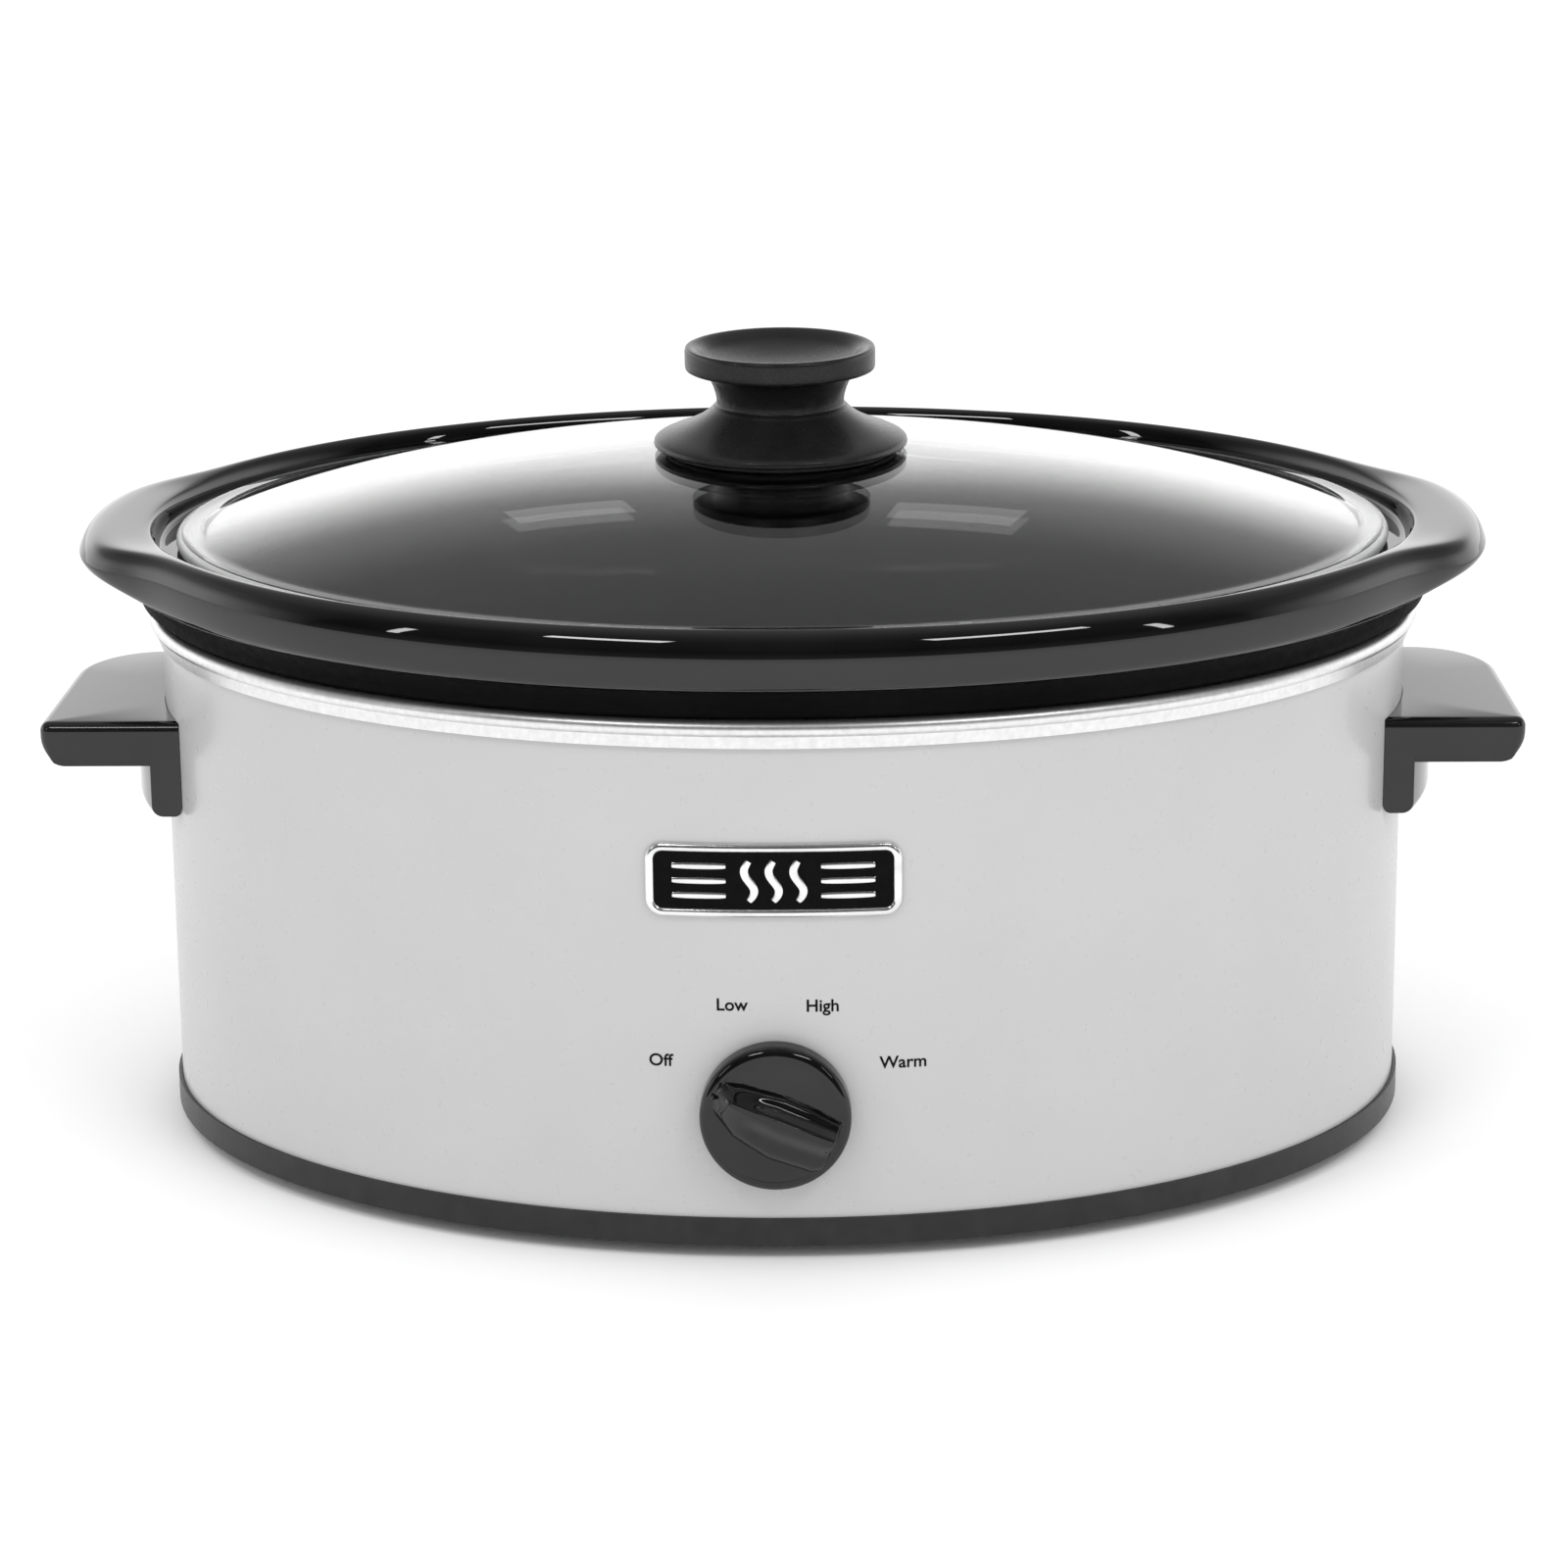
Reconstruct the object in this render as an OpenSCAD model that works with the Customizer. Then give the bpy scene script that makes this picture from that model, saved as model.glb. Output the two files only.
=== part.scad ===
// Oval slow cooker: stoneware crock and glass lid in a painted steel heating base.
// Millimetres, +Z up, X along the oval, the control dial faces -Y.
// The origin lies on the table, under the middle of the oval.

/* [Heating base] */
// Length of the painted casing over its outside
body_len = 350; // [330:1:370]
// Width of the painted casing over its outside
body_wid = 262; // [250:1:280]
// Height of the painted casing
casing_h = 141; // [135:1:150]
// Thickness of the casing sheet
casing_t = 0.8; // [0.6:0.1:1.2]
// Thickness of the heating liner sheet
liner_t = 1.0; // [0.8:0.1:1.4]
// Radius of the rolled bead round the liner's rim
bead_r = 2.2; // [1.8:0.1:3]
// How far the liner's rim skirt hangs down outside the casing
skirt_h = 6; // [5:0.5:9]
// Space between the casing and the liner's wall under the rim
top_gap = 6; // [5:0.5:10]
// How far the liner's wall leans in from top to bottom
liner_taper = 20; // [16:1:26]
// Height of the liner's floor over the base ring's underside
floor_up = 16; // [14:0.5:20]

/* [Plastic base] */
// Height of the visible base band
band_h = 7.7; // [6:0.1:12]
// Thickness of the base band and of its flange
band_t = 2.2; // [1.8:0.1:3]
// Width of the base ring's flange
flange_w = 44; // [36:1:50]
// How far the feet lift the base off the table
foot_h = 4; // [3:0.5:6]
// Radius of each foot
foot_r = 8; // [6:0.5:10]

/* [Crock] */
// Thickness of the stoneware wall
crock_t = 7; // [5:0.5:9]
// Height of the rounded lip
lip_h = 15.5; // [12:0.5:20]
// How far the lip overhangs the casing
lip_over = 10; // [8:0.5:13]
// Height of the neck that shows between the lip and the liner's bead
neck_h = 9.5; // [6:0.5:12]
// How far the two lifting lugs reach out past the lip
lug_reach = 12; // [8:1:16]
// Room between the crock and the liner
crock_gap = 2.5; // [1.5:0.5:4]

/* [Lid] */
// Thickness of the tempered glass
glass_t = 4.5; // [3.5:0.5:6]
// Rise of the glass dome over its edge
dome_h = 20.5; // [14:0.5:30]
// Room round the lid's edge inside the lip
lid_gap = 5; // [3:0.5:8]
// Radius of the knob's dished top
knob_r = 26.6; // [22:0.1:30]
// Radius of the knob's flared foot
knob_foot_r = 35.5; // [30:0.5:40]
// Height of the knob
knob_h = 28; // [24:0.5:34]
// Radius of the screw that holds the knob
lid_screw_r = 2.5; // [2:0.1:3]

/* [Controls] */
// Radius of the control dial
dial_r = 20; // [17:0.5:24]
// How far the dial's disc stands off the casing
dial_disc_h = 7.5; // [6:0.5:10]
// Height of the grip on the dial
grip_h = 6.5; // [5:0.5:9]
// Height of the dial's centre over the base ring's underside
dial_up = 37.6; // [34:0.2:46]
// Radius of the switch shaft
shaft_r = 3; // [2.5:0.1:3.5]
// Width of the badge
badge_w = 67; // [50:1:80]
// Height of the badge
badge_h = 20; // [16:1:24]
// Height of the badge's centre over the base ring's underside
badge_up = 101.5; // [90:0.5:110]

/* [Handles] */
// Length of each handle along the casing's end
handle_w = 80; // [60:2:90]
// How far each handle reaches out from the casing
handle_reach = 31; // [24:1:38]
// Thickness of the handle's grip shelf
handle_t = 12.5; // [10:0.5:15]
// Height of the handle's top over the base ring's underside
handle_up = 118.5; // [108:0.5:120]
// How far the handle's leg hangs below its shelf
leg_drop = 14.5; // [12:0.5:20]
// Thickness of the handle's leg
leg_t = 8; // [7:0.5:10]

/* [Cord entry] */
// Radius of the hole for the mains cord
cord_r = 3.7; // [3:0.1:4.5]
// Height of the cord entry over the base ring's underside
gland_up = 24; // [22:1:34]

/* [Hidden] */
$fn = 96;

touch = 0.3;            // gap between moving pieces that rest on each other
slip = 0.2;             // gap between fixed pieces that slide together
run_fit = 0.05;         // radial running clearance of the shaft

half_len = body_len / 2;
half_wid = body_wid / 2;

// Heights, all from the table
base_z = foot_h;
flange_z = base_z + band_t;
casing_z = flange_z;
casing_top = casing_z + casing_h;
skirt_z = casing_top - skirt_h;
shelf_z = casing_top + slip;
ledge_top = shelf_z + liner_t;
rim_top = ledge_top + 0.4;
bead_z = rim_top - bead_r;
liner_floor = base_z + floor_up;
crock_foot = liner_floor + liner_t + crock_gap;
lip_z = rim_top + neck_h;
crest_z = lip_z + lip_h;
ledge_z = crest_z - 8;
lid_z = ledge_z + touch;
dial_z = base_z + dial_up;
badge_z = base_z + badge_up;
gland_z = base_z + gland_up;

// Half lengths of the nested ovals
band_in = half_len + slip;
band_out = band_in + 1;
skirt_in = half_len + slip;
bead_x = skirt_in + liner_t + 0.1;
liner_top_x = half_len - top_gap;
liner_low_x = liner_top_x - liner_taper;
crock_top_x = liner_top_x - liner_t - crock_gap;
crock_low_x = crock_top_x - liner_taper;
lip_x = half_len + lip_over;
crest_x = lip_x - 5;
well_x = lip_x - 8.5;
lid_x = well_x - lid_gap - 1.5;
ledge_x = lid_x - 7;

// The liner's wall leans, so a height gives its outer half length
function liner_x(z) = liner_low_x + liner_taper * (z - liner_floor) / (rim_top - liner_floor);

// Every oval keeps the same distance from the casing all round, so its half width follows
function oval_y(x) = x - (half_len - half_wid);

// Places a flat profile, x outward and y up, round the oval of half length x
module oval_ring(x = half_len) {
    rotate([0, 0, 180]) scale([1, oval_y(x) / x, 1]) rotate_extrude($fn = 144) children();
}

module oval_outline(x) {
    scale([1, oval_y(x) / x]) circle(x, $fn = 144);
}

module oval_solid(x, z0, z1) {
    translate([0, 0, z0]) scale([1, oval_y(x) / x, 1]) cylinder(r = x, h = z1 - z0, $fn = 144);
}

// A box with rounded vertical edges, standing on the origin
module round_slab(w, d, h, r) {
    linear_extrude(h) union() {
        square([w - 2 * r, d], center = true);
        square([w, d - 2 * r], center = true);
        for (sx = [-1, 1], sy = [-1, 1])
            translate([sx * (w / 2 - r), sy * (d / 2 - r)]) circle(r, $fn = 32);
    }
}

// Turns a solid built up +Z so that it points out of the front, at height z
module front(z) {
    translate([0, -half_wid, z]) rotate([90, 0, 0]) children();
}

// ---- Plastic base -------------------------------------------------------

foot_ring_x = half_len - flange_w + foot_r + 2;
foot_angle = 45;
boss_r = 4.5;
boss_h = 7.5;
screw_r = 1.5;
plate_t = 0.8;
plate_x = foot_ring_x + foot_r + 3;
plate_z = base_z + 0.1;
foot_seat = plate_t + 0.1;      // how far the feet reach up through the plate

module at_feet() {
    for (sx = [-1, 1], sy = [-1, 1])
        translate([sx * foot_ring_x * cos(foot_angle), sy * oval_y(foot_ring_x) * sin(foot_angle), 0])
            children();
}

module base_ring() {
    color([0.17, 0.17, 0.17]) difference() {
        union() {
            oval_ring() union() {
                translate([half_len - flange_w, base_z + plate_t + 0.2])
                    square([flange_w, band_t - plate_t - 0.2]);
                translate([plate_x + 0.5, base_z]) square([band_out - plate_x - 0.5, band_t]);
                translate([band_in, base_z]) square([band_out - band_in, band_h]);
            }
            at_feet() translate([0, 0, flange_z - 0.6]) cylinder(r = boss_r, h = boss_h);
        }
        at_feet() translate([0, 0, -1]) cylinder(r = screw_r + run_fit, h = base_z + boss_h);
    }
}

vent_w = 4;
vent_len = 36;
vent_pitch = 12;
centre_r = 3;

module bottom_plate() {
    color([0.62, 0.63, 0.64]) difference() {
        oval_solid(plate_x, plate_z, plate_z + plate_t);
        translate([0, 0, plate_z - 1]) cylinder(r = centre_r + slip, h = 3);
        for (sx = [-1, 1], i = [-2:2])
            translate([sx * 55, i * vent_pitch, plate_z - 1]) round_slab(vent_len, vent_w, 3, 1.9);
        at_feet() translate([0, 0, plate_z - 1]) cylinder(r = foot_r + 1, h = 3);
    }
}

head_r = 3.2;
head_h = 1.8;
head_z = 0.7;
slot_w = 0.8;

module feet() {
    color([0.1, 0.1, 0.1]) at_feet() difference() {
        union() {
            cylinder(r = foot_r - 0.8, h = 1);
            translate([0, 0, 0.8]) cylinder(r = foot_r, h = base_z - 0.8 + foot_seat);
        }
        translate([0, 0, -1]) cylinder(r = head_r + slip, h = 1 + head_z + head_h + 0.1);
        cylinder(r = screw_r + slip, h = base_z + 3);
    }
}

module foot_screws() {
    color([0.7, 0.7, 0.7]) at_feet() difference() {
        union() {
            translate([0, 0, head_z]) cylinder(r = head_r, h = head_h);
            translate([0, 0, head_z]) cylinder(r = screw_r, h = base_z + 4);
        }
        translate([0, 0, head_z]) cube([head_r + 0.6, slot_w, head_h], center = true);
        translate([0, 0, head_z]) cube([slot_w, head_r + 0.6, head_h], center = true);
    }
}

nut_h = 2.4;

module centre_stud() {
    color([0.7, 0.7, 0.7]) union() {
        translate([0, 0, plate_z - nut_h - 0.4])
            cylinder(r = centre_r, h = liner_floor - plate_z + nut_h + 0.3);
        translate([0, 0, liner_floor - 1.3]) cylinder(r = 9, h = 1.2);
    }
}

module centre_nut() {
    color([0.66, 0.66, 0.66]) translate([0, 0, plate_z - nut_h]) difference() {
        union() {
            cylinder(r = 5.8, h = nut_h - 0.6, $fn = 6);
            translate([0, 0, nut_h - 0.6]) cylinder(r = 7.5, h = 0.6);
        }
        translate([0, 0, -1]) cylinder(r = centre_r + run_fit, h = nut_h + 2);
    }
}

// ---- Sheet metal --------------------------------------------------------

bush_r = 4.6;
stud_r = 1.5;
stud_x = 22;
gland_r = 7;
handle_screw_r = 1.9;
handle_screw_y = 22;
handle_z = base_z + handle_up;
leg_z = handle_z - handle_t - leg_drop;
leg_mid = leg_z + leg_drop / 2 + 1;

module handle_screw_axes() {
    for (sx = [-1, 1], sy = [-1, 1])
        translate([sx * half_len, sy * handle_screw_y, leg_mid]) rotate([0, -sx * 90, 0]) children();
}

module outer_casing() {
    color([0.8, 0.8, 0.79]) difference() {
        oval_ring() translate([half_len - casing_t, casing_z]) square([casing_t, casing_h]);
        front(dial_z) translate([0, 0, -5]) cylinder(r = bush_r + slip, h = 10);
        for (sx = [-1, 1])
            front(badge_z) translate([sx * stud_x, 0, -5]) cylinder(r = stud_r + slip, h = 10);
        translate([0, half_wid + 5, gland_z]) rotate([90, 0, 0]) cylinder(r = gland_r + slip, h = 10);
        handle_screw_axes() translate([0, 0, -5]) cylinder(r = handle_screw_r + slip, h = 18);
    }
}

// Where a section's point p, x outward and z up, lies at turn a round the oval
function oval_point(p, a) = [p[0] * cos(a), oval_y(p[0]) * sin(a), p[1]];

// A bowl whose section may change round the oval. sections holds one list of points for each
// side, from the middle of the foot, round the outside, over the rim and down to the floor.
module oval_bowl(sections) {
    n = len(sections);
    m = len(sections[0]);
    skin = [for (i = [0:n - 1], p = sections[i]) oval_point(p, i * 360 / n)];
    walls = [for (i = [0:n - 1], k = [0:m - 2]) let (j = (i + 1) % n)
        [i * m + k, i * m + k + 1, j * m + k + 1, j * m + k]];
    foot = [for (i = [0:n - 1]) i * m];
    well = [for (i = [n - 1:-1:0]) i * m + m - 1];
    polyhedron(points = skin, faces = concat(walls, [foot, well]), convexity = 8);
}

liner_sides = 80;
liner_bend = 14;
bead_steps = 5;

// Sheet section from the floor up the leaning wall, out to the rolled bead and down the skirt
liner_section = concat(
    [
        [liner_low_x - liner_bend, liner_floor], [liner_low_x - 3.5, liner_floor + 4],
        [liner_x(liner_floor + liner_bend), liner_floor + liner_bend],
        [liner_top_x, shelf_z], [skirt_in, shelf_z], [skirt_in, skirt_z],
        [skirt_in + liner_t, skirt_z], [skirt_in + liner_t, bead_z - bead_r * 0.95]
    ],
    [for (i = [0:bead_steps]) let (a = -60 + 150 * i / bead_steps)
        [bead_x + bead_r * cos(a), bead_z + bead_r * sin(a)]],
    [
        [bead_x - 1.4, ledge_top], [liner_top_x - liner_t, ledge_top],
        [liner_x(liner_floor + liner_bend) - liner_t, liner_floor + liner_bend],
        [liner_low_x - 4.5, liner_floor + 4 + liner_t * 0.6],
        [liner_low_x - liner_bend - 0.3, liner_floor + liner_t]
    ]
);

module heating_liner() {
    color([0.72, 0.72, 0.7]) oval_bowl([for (i = [1:liner_sides]) liner_section]);
}

// ---- Heating parts ------------------------------------------------------

band_z = base_z + 72;
band_wide = 30;
heater_t = 1.6;
band_fit = 0.5;
wrap_t = 4;
strap_t = 0.8;
strap_z = band_z + band_wide / 2 - 5;
strap_wide = 10;

// An open band round the leaning wall, from offset a to offset b, parted by gap at the rear
band_sides = 72;

module wall_band(z, h, a, b, gap) {
    open = asin(gap / 2 / liner_x(z));
    turn = (360 - 2 * open) / band_sides;
    section = [
        [liner_x(z) + a, z], [liner_x(z) + b, z],
        [liner_x(z + h) + b, z + h], [liner_x(z + h) + a, z + h]
    ];
    skin = [for (i = [0:band_sides], p = section) oval_point(p, 90 + open + i * turn)];
    walls = [for (i = [0:band_sides - 1], k = [0:3]) let (m = (k + 1) % 4)
        [i * 4 + k, i * 4 + m, i * 4 + 4 + m, i * 4 + 4 + k]];
    far = [for (k = [3:-1:0]) band_sides * 4 + k];
    polyhedron(points = skin, faces = concat(walls, [[0, 1, 2, 3], far]), convexity = 8);
}

module heater_band() {
    color([0.75, 0.68, 0.52]) wall_band(band_z, band_wide, band_fit, band_fit + heater_t, 8);
}

wrap_a = band_fit + heater_t + slip;
strap_a = wrap_a + wrap_t + slip;

module insulation_wrap() {
    color([0.93, 0.92, 0.86]) wall_band(band_z - 3, band_wide + 6, wrap_a, wrap_a + wrap_t, 20);
}

strap_gap = 10;
strap_y = oval_y(liner_x(strap_z + strap_wide) + strap_a + strap_t);
tab_reach = 4.4;

module strap_tabs() {
    for (s = [-1, 1])
        translate([s * (strap_gap / 2 + 1.3) - 1, strap_y - 1.6, strap_z + 0.6])
            cube([2, tab_reach + 1.6, strap_wide - 1.2]);
}

module band_strap() {
    color([0.7, 0.71, 0.72]) difference() {
        union() {
            wall_band(strap_z, strap_wide, strap_a, strap_a + strap_t, strap_gap);
            strap_tabs();
        }
        translate([-20, strap_y + tab_reach / 2, strap_z + strap_wide / 2]) rotate([0, 90, 0])
            cylinder(r = screw_r + slip, h = 40);
    }
}

module strap_screw() {
    color([0.6, 0.6, 0.6]) translate([0, strap_y + tab_reach / 2, strap_z + strap_wide / 2])
        rotate([0, 90, 0]) union() {
            translate([0, 0, -9]) cylinder(r = screw_r, h = 18);
            translate([0, 0, -strap_gap / 2 - 4.3]) cylinder(r = 2.2, h = 1.9);
            translate([0, 0, strap_gap / 2 + 2.4]) cylinder(r = 2.5, h = 2, $fn = 6);
        }
}

// ---- Handles ------------------------------------------------------------

handle_x = half_len + handle_reach;
rear_corner = 24;
front_corner = 3;
under_r = 7;
top_r = 2.4;

module handle_plan() {
    union() {
        translate([0, -handle_w / 2]) square([handle_x - rear_corner, handle_w]);
        translate([0, -handle_w / 2 + front_corner])
            square([handle_x, handle_w - rear_corner - front_corner]);
        translate([0, -handle_w / 2]) square([handle_x - front_corner, 20]);
        translate([handle_x - front_corner, -handle_w / 2 + front_corner]) circle(front_corner, $fn = 32);
        translate([handle_x - rear_corner, handle_w / 2 - rear_corner]) circle(rear_corner);
    }
}

// The shelf seen from the front, with its fillet above and its rounded corner below
module handle_section() {
    union() {
        translate([half_len - 20, handle_z - handle_t]) square([handle_reach + 20 - under_r, handle_t]);
        translate([half_len - 20, handle_z - handle_t + under_r])
            square([handle_reach + 20, handle_t - under_r - top_r]);
        translate([half_len - 20, handle_z - 6]) square([handle_reach + 20 - top_r, 6]);
        translate([handle_x - under_r, handle_z - handle_t + under_r]) circle(under_r, $fn = 48);
        translate([handle_x - top_r, handle_z - top_r]) circle(top_r, $fn = 32);
    }
}

// What lies outside the casing's oval, in plan, with room for it
module outside_oval() {
    difference() {
        children();
        oval_outline(half_len + slip);
    }
}

module handle_solid() {
    difference() {
        union() {
            intersection() {
                translate([0, 0, handle_z - handle_t]) linear_extrude(handle_t) outside_oval() handle_plan();
                translate([0, handle_w / 2 + 5, 0]) rotate([90, 0, 0]) linear_extrude(handle_w + 10)
                    handle_section();
            }
            translate([0, 0, leg_z]) linear_extrude(leg_drop + 6) outside_oval() intersection() {
                oval_outline(half_len + leg_t);
                translate([half_len - 40, -handle_w / 2 + 0.5]) square([60, handle_w - 1]);
            }
        }
        for (sy = [-1, 1])
            translate([half_len - 10, sy * handle_screw_y, leg_mid]) rotate([0, 90, 0])
                cylinder(r = handle_screw_r + run_fit, h = 10 + leg_t - 2.5);
    }
}

module handle_right() {
    color([0.1, 0.1, 0.1]) handle_solid();
}

module handle_left() {
    color([0.1, 0.1, 0.1]) mirror([1, 0, 0]) handle_solid();
}

// Each screw comes from inside the casing, so its head is in there
handle_screw_in = half_len * (1 - sqrt(1 - pow((handle_screw_y + 3.6) / half_wid, 2))) + casing_t + 0.1;

module handle_screws() {
    color([0.68, 0.68, 0.68]) handle_screw_axes() union() {
        translate([0, 0, -3.5]) cylinder(r = handle_screw_r, h = handle_screw_in + 4);
        translate([0, 0, handle_screw_in]) cylinder(r = 3.5, h = 2);
    }
}

// ---- Badge --------------------------------------------------------------

badge_t = 1.6;
badge_edge = 2.3;
badge_corner = 3.6;
inlay_t = 0.6;

// A rounded plate that follows the casing's front, between two offsets from it
module badge_shell(w, h, r, a, b) {
    intersection() {
        difference() {
            oval_solid(half_len + b, badge_z - h, badge_z + h);
            oval_solid(half_len + a, badge_z - h - 1, badge_z + h + 1);
        }
        translate([0, -half_wid + 20, badge_z]) rotate([90, 0, 0]) round_slab(w, h, 40, r);
    }
}

module badge_frame() {
    color([0.8, 0.8, 0.8]) union() {
        difference() {
            badge_shell(badge_w, badge_h, badge_corner, 0.1, 0.1 + badge_t);
            badge_shell(badge_w - 2 * badge_edge, badge_h - 2 * badge_edge, badge_corner - 2,
                0.1 + badge_t - inlay_t - 0.4, badge_t + 5);
        }
        for (sx = [-1, 1]) front(badge_z) translate([sx * stud_x, 0, -6]) cylinder(r = stud_r, h = 5.6);
    }
}

module badge_inlay() {
    color([0.05, 0.05, 0.05]) badge_shell(badge_w - 2 * badge_edge - 0.2, badge_h - 2 * badge_edge - 0.2,
        badge_corner - 2.1, 0.1 + badge_t - inlay_t - 0.35, 0.1 + badge_t - 0.4);
}

// Push-on spring nuts on the badge's studs
stud_sag = half_wid * (1 - sqrt(1 - pow((stud_x + 4) / half_len, 2))) + casing_t + 0.1;

module badge_clips() {
    color([0.6, 0.6, 0.6]) for (sx = [-1, 1]) front(badge_z) translate([sx * stud_x, 0, -stud_sag - 0.8])
        difference() {
            cylinder(r = 4, h = 0.8);
            translate([0, 0, -1]) cylinder(r = stud_r + run_fit, h = 3);
        }
}

// ---- Switch and dial ----------------------------------------------------

switch_w = 30;
switch_h = 27;
switch_d = 12;
switch_back = 1.6;
bush_out = 4.4;
nut_front = 2.2;
bush_len = switch_back + bush_out;

module rotary_switch() {
    color([0.86, 0.84, 0.78]) front(dial_z) difference() {
        union() {
            translate([0, 0, -switch_back - switch_d]) round_slab(switch_w, switch_h, switch_d, 2);
            translate([0, 0, -switch_back - 0.5]) cylinder(r = bush_r, h = bush_len + 0.5);
        }
        translate([0, 0, -switch_back - 8]) cylinder(r = shaft_r + run_fit, h = 30);
    }
}

tab_w = 6.3;
tab_t = 0.8;
tab_len = 7;
tab_x = 9;

module switch_terminals() {
    color([0.85, 0.7, 0.35]) for (sx = [-1, 0, 1])
        front(dial_z) translate([sx * tab_x - tab_w / 2, switch_h / 2, -switch_back - 6])
            cube([tab_w, tab_len, tab_t]);
}

module switch_nut() {
    color([0.7, 0.7, 0.7]) front(dial_z) translate([0, 0, 0.2]) difference() {
        cylinder(r = 7.5, h = nut_front, $fn = 6);
        translate([0, 0, -1]) cylinder(r = bush_r + run_fit, h = 6);
    }
}

dial_off = 1;
dial_wall = 1.6;
hub_r = 6;
pointer_turn = 67.5;
clip_room = 0.55;
shaft_tip = dial_off + dial_disc_h + 1;

module switch_shaft() {
    color([0.75, 0.75, 0.75]) front(dial_z) translate([0, 0, -switch_back - 7])
        cylinder(r = shaft_r, h = switch_back + 7 + shaft_tip);
}

// The grip is a bar, square at the tail and rounded at the nose, hollowed along both sides
grip_tail = 15;
grip_w = 15.5;
nose_r = 6;

module grip_plan() {
    union() {
        translate([-grip_w / 2, -grip_tail]) square([grip_w, grip_tail]);
        polygon([[-grip_w / 2, 0], [grip_w / 2, 0], [nose_r, dial_r - 8], [-nose_r, dial_r - 8]]);
        translate([0, dial_r - 8]) circle(nose_r, $fn = 48);
    }
}

crown_r = 34;           // radius of the grip's arched back

module control_dial() {
    face = dial_off + dial_disc_h;
    color([0.07, 0.07, 0.07]) front(dial_z) rotate([0, 0, pointer_turn]) difference() {
        union() {
            rotate_extrude() union() {
                polygon([
                    [0, face - 2.2], [dial_r - dial_wall, face - 2.2], [dial_r - dial_wall, dial_off],
                    [dial_r, dial_off], [dial_r, face - 1], [dial_r - 1, face],
                    [dial_r - 1.8, face], [dial_r - 2.6, face - 0.8], [0, face - 0.8]
                ]);
                translate([0, dial_off + bush_out]) square([hub_r, dial_disc_h - bush_out - 0.5]);
            }
            intersection() {
                translate([0, 0, face - 1]) linear_extrude(grip_h + 1) grip_plan();
                translate([0, 0, face + grip_h - crown_r]) rotate([0, 90, 0])
                    cylinder(r = crown_r, h = 3 * dial_r, center = true);
            }
        }
        translate([0, 0, -1]) cylinder(r = shaft_r + clip_room, h = shaft_tip + 1.4);
        translate([0, dial_r + 0.4, face - 1]) cylinder(r = 1.4, h = 3);
    }
}

// The sprung sleeve that grips the shaft's end inside the dial
module dial_clip() {
    color([0.8, 0.8, 0.8]) front(dial_z) translate([0, 0, shaft_tip - 3]) difference() {
        cylinder(r = shaft_r + clip_room - 0.02, h = 3);
        translate([0, 0, -1]) cylinder(r = shaft_r + 0.02, h = 5);
    }
}

// ---- Mains entry and wiring ---------------------------------------------

gland_flange = 2.5;
gland_out = 7;
gland_in = 9;
gland_nut_h = 3;

module rear(z) {
    translate([0, half_wid, z]) rotate([-90, 0, 0]) children();
}

module cord_gland() {
    color([0.12, 0.12, 0.12]) rear(gland_z) difference() {
        union() {
            translate([0, 0, 0.2]) cylinder(r = gland_r + 3, h = gland_flange);
            translate([0, 0, -gland_in]) cylinder(r = gland_r, h = gland_in + 1);
            translate([0, 0, 1]) cylinder(r = gland_r - 0.6, h = gland_out - 1);
        }
        translate([0, 0, -gland_in - 1]) cylinder(r = cord_r, h = gland_in + gland_out + 2);
    }
}

module gland_nut() {
    color([0.2, 0.2, 0.2]) rear(gland_z) translate([0, 0, -casing_t - 0.4 - gland_nut_h]) difference() {
        cylinder(r = 10.5, h = gland_nut_h, $fn = 6);
        translate([0, 0, -1]) cylinder(r = gland_r + run_fit, h = 6);
    }
}

block_x = -48;
block_y = 78;
block_z = plate_z + plate_t + 0.1;
block_w = 30;
block_d = 10;
block_h = 9;
block_pitch = 9;

module at_block() {
    translate([block_x, block_y, block_z]) children();
}

module terminal_block() {
    color([0.92, 0.92, 0.88]) at_block() difference() {
        translate([-block_w / 2, -block_d / 2, 0]) cube([block_w, block_d, block_h]);
        for (i = [-1:1]) {
            translate([i * block_pitch, 0, 3]) cylinder(r = 2 + slip, h = block_h);
            translate([i * block_pitch, -block_d, 4.2]) rotate([-90, 0, 0])
                cylinder(r = 1.7, h = block_d * 2);
        }
    }
}

module terminal_screws() {
    color([0.85, 0.7, 0.35]) at_block() for (i = [-1:1])
        translate([i * block_pitch, 0, 6.1]) cylinder(r = 2, h = block_h - 6.1);
}

fuse_x = -30;
fuse_y = -40;
fuse_r = 2;
fuse_len = 12;
fuse_wire = 6;
fuse_z = liner_floor - fuse_r - 0.4;
clip_w = 5;

// Lays a solid built up +Z along +Y under the liner's floor
module at_fuse() {
    translate([fuse_x, fuse_y, fuse_z]) rotate([0, 0, 90]) rotate([0, 90, 0]) children();
}

module thermal_fuse() {
    color([0.8, 0.6, 0.3]) at_fuse() union() {
        translate([0, 0, -fuse_len / 2]) cylinder(r = fuse_r, h = fuse_len);
        translate([0, 0, -fuse_len / 2 - fuse_wire]) cylinder(r = 0.5, h = fuse_len + 2 * fuse_wire);
    }
}

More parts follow.
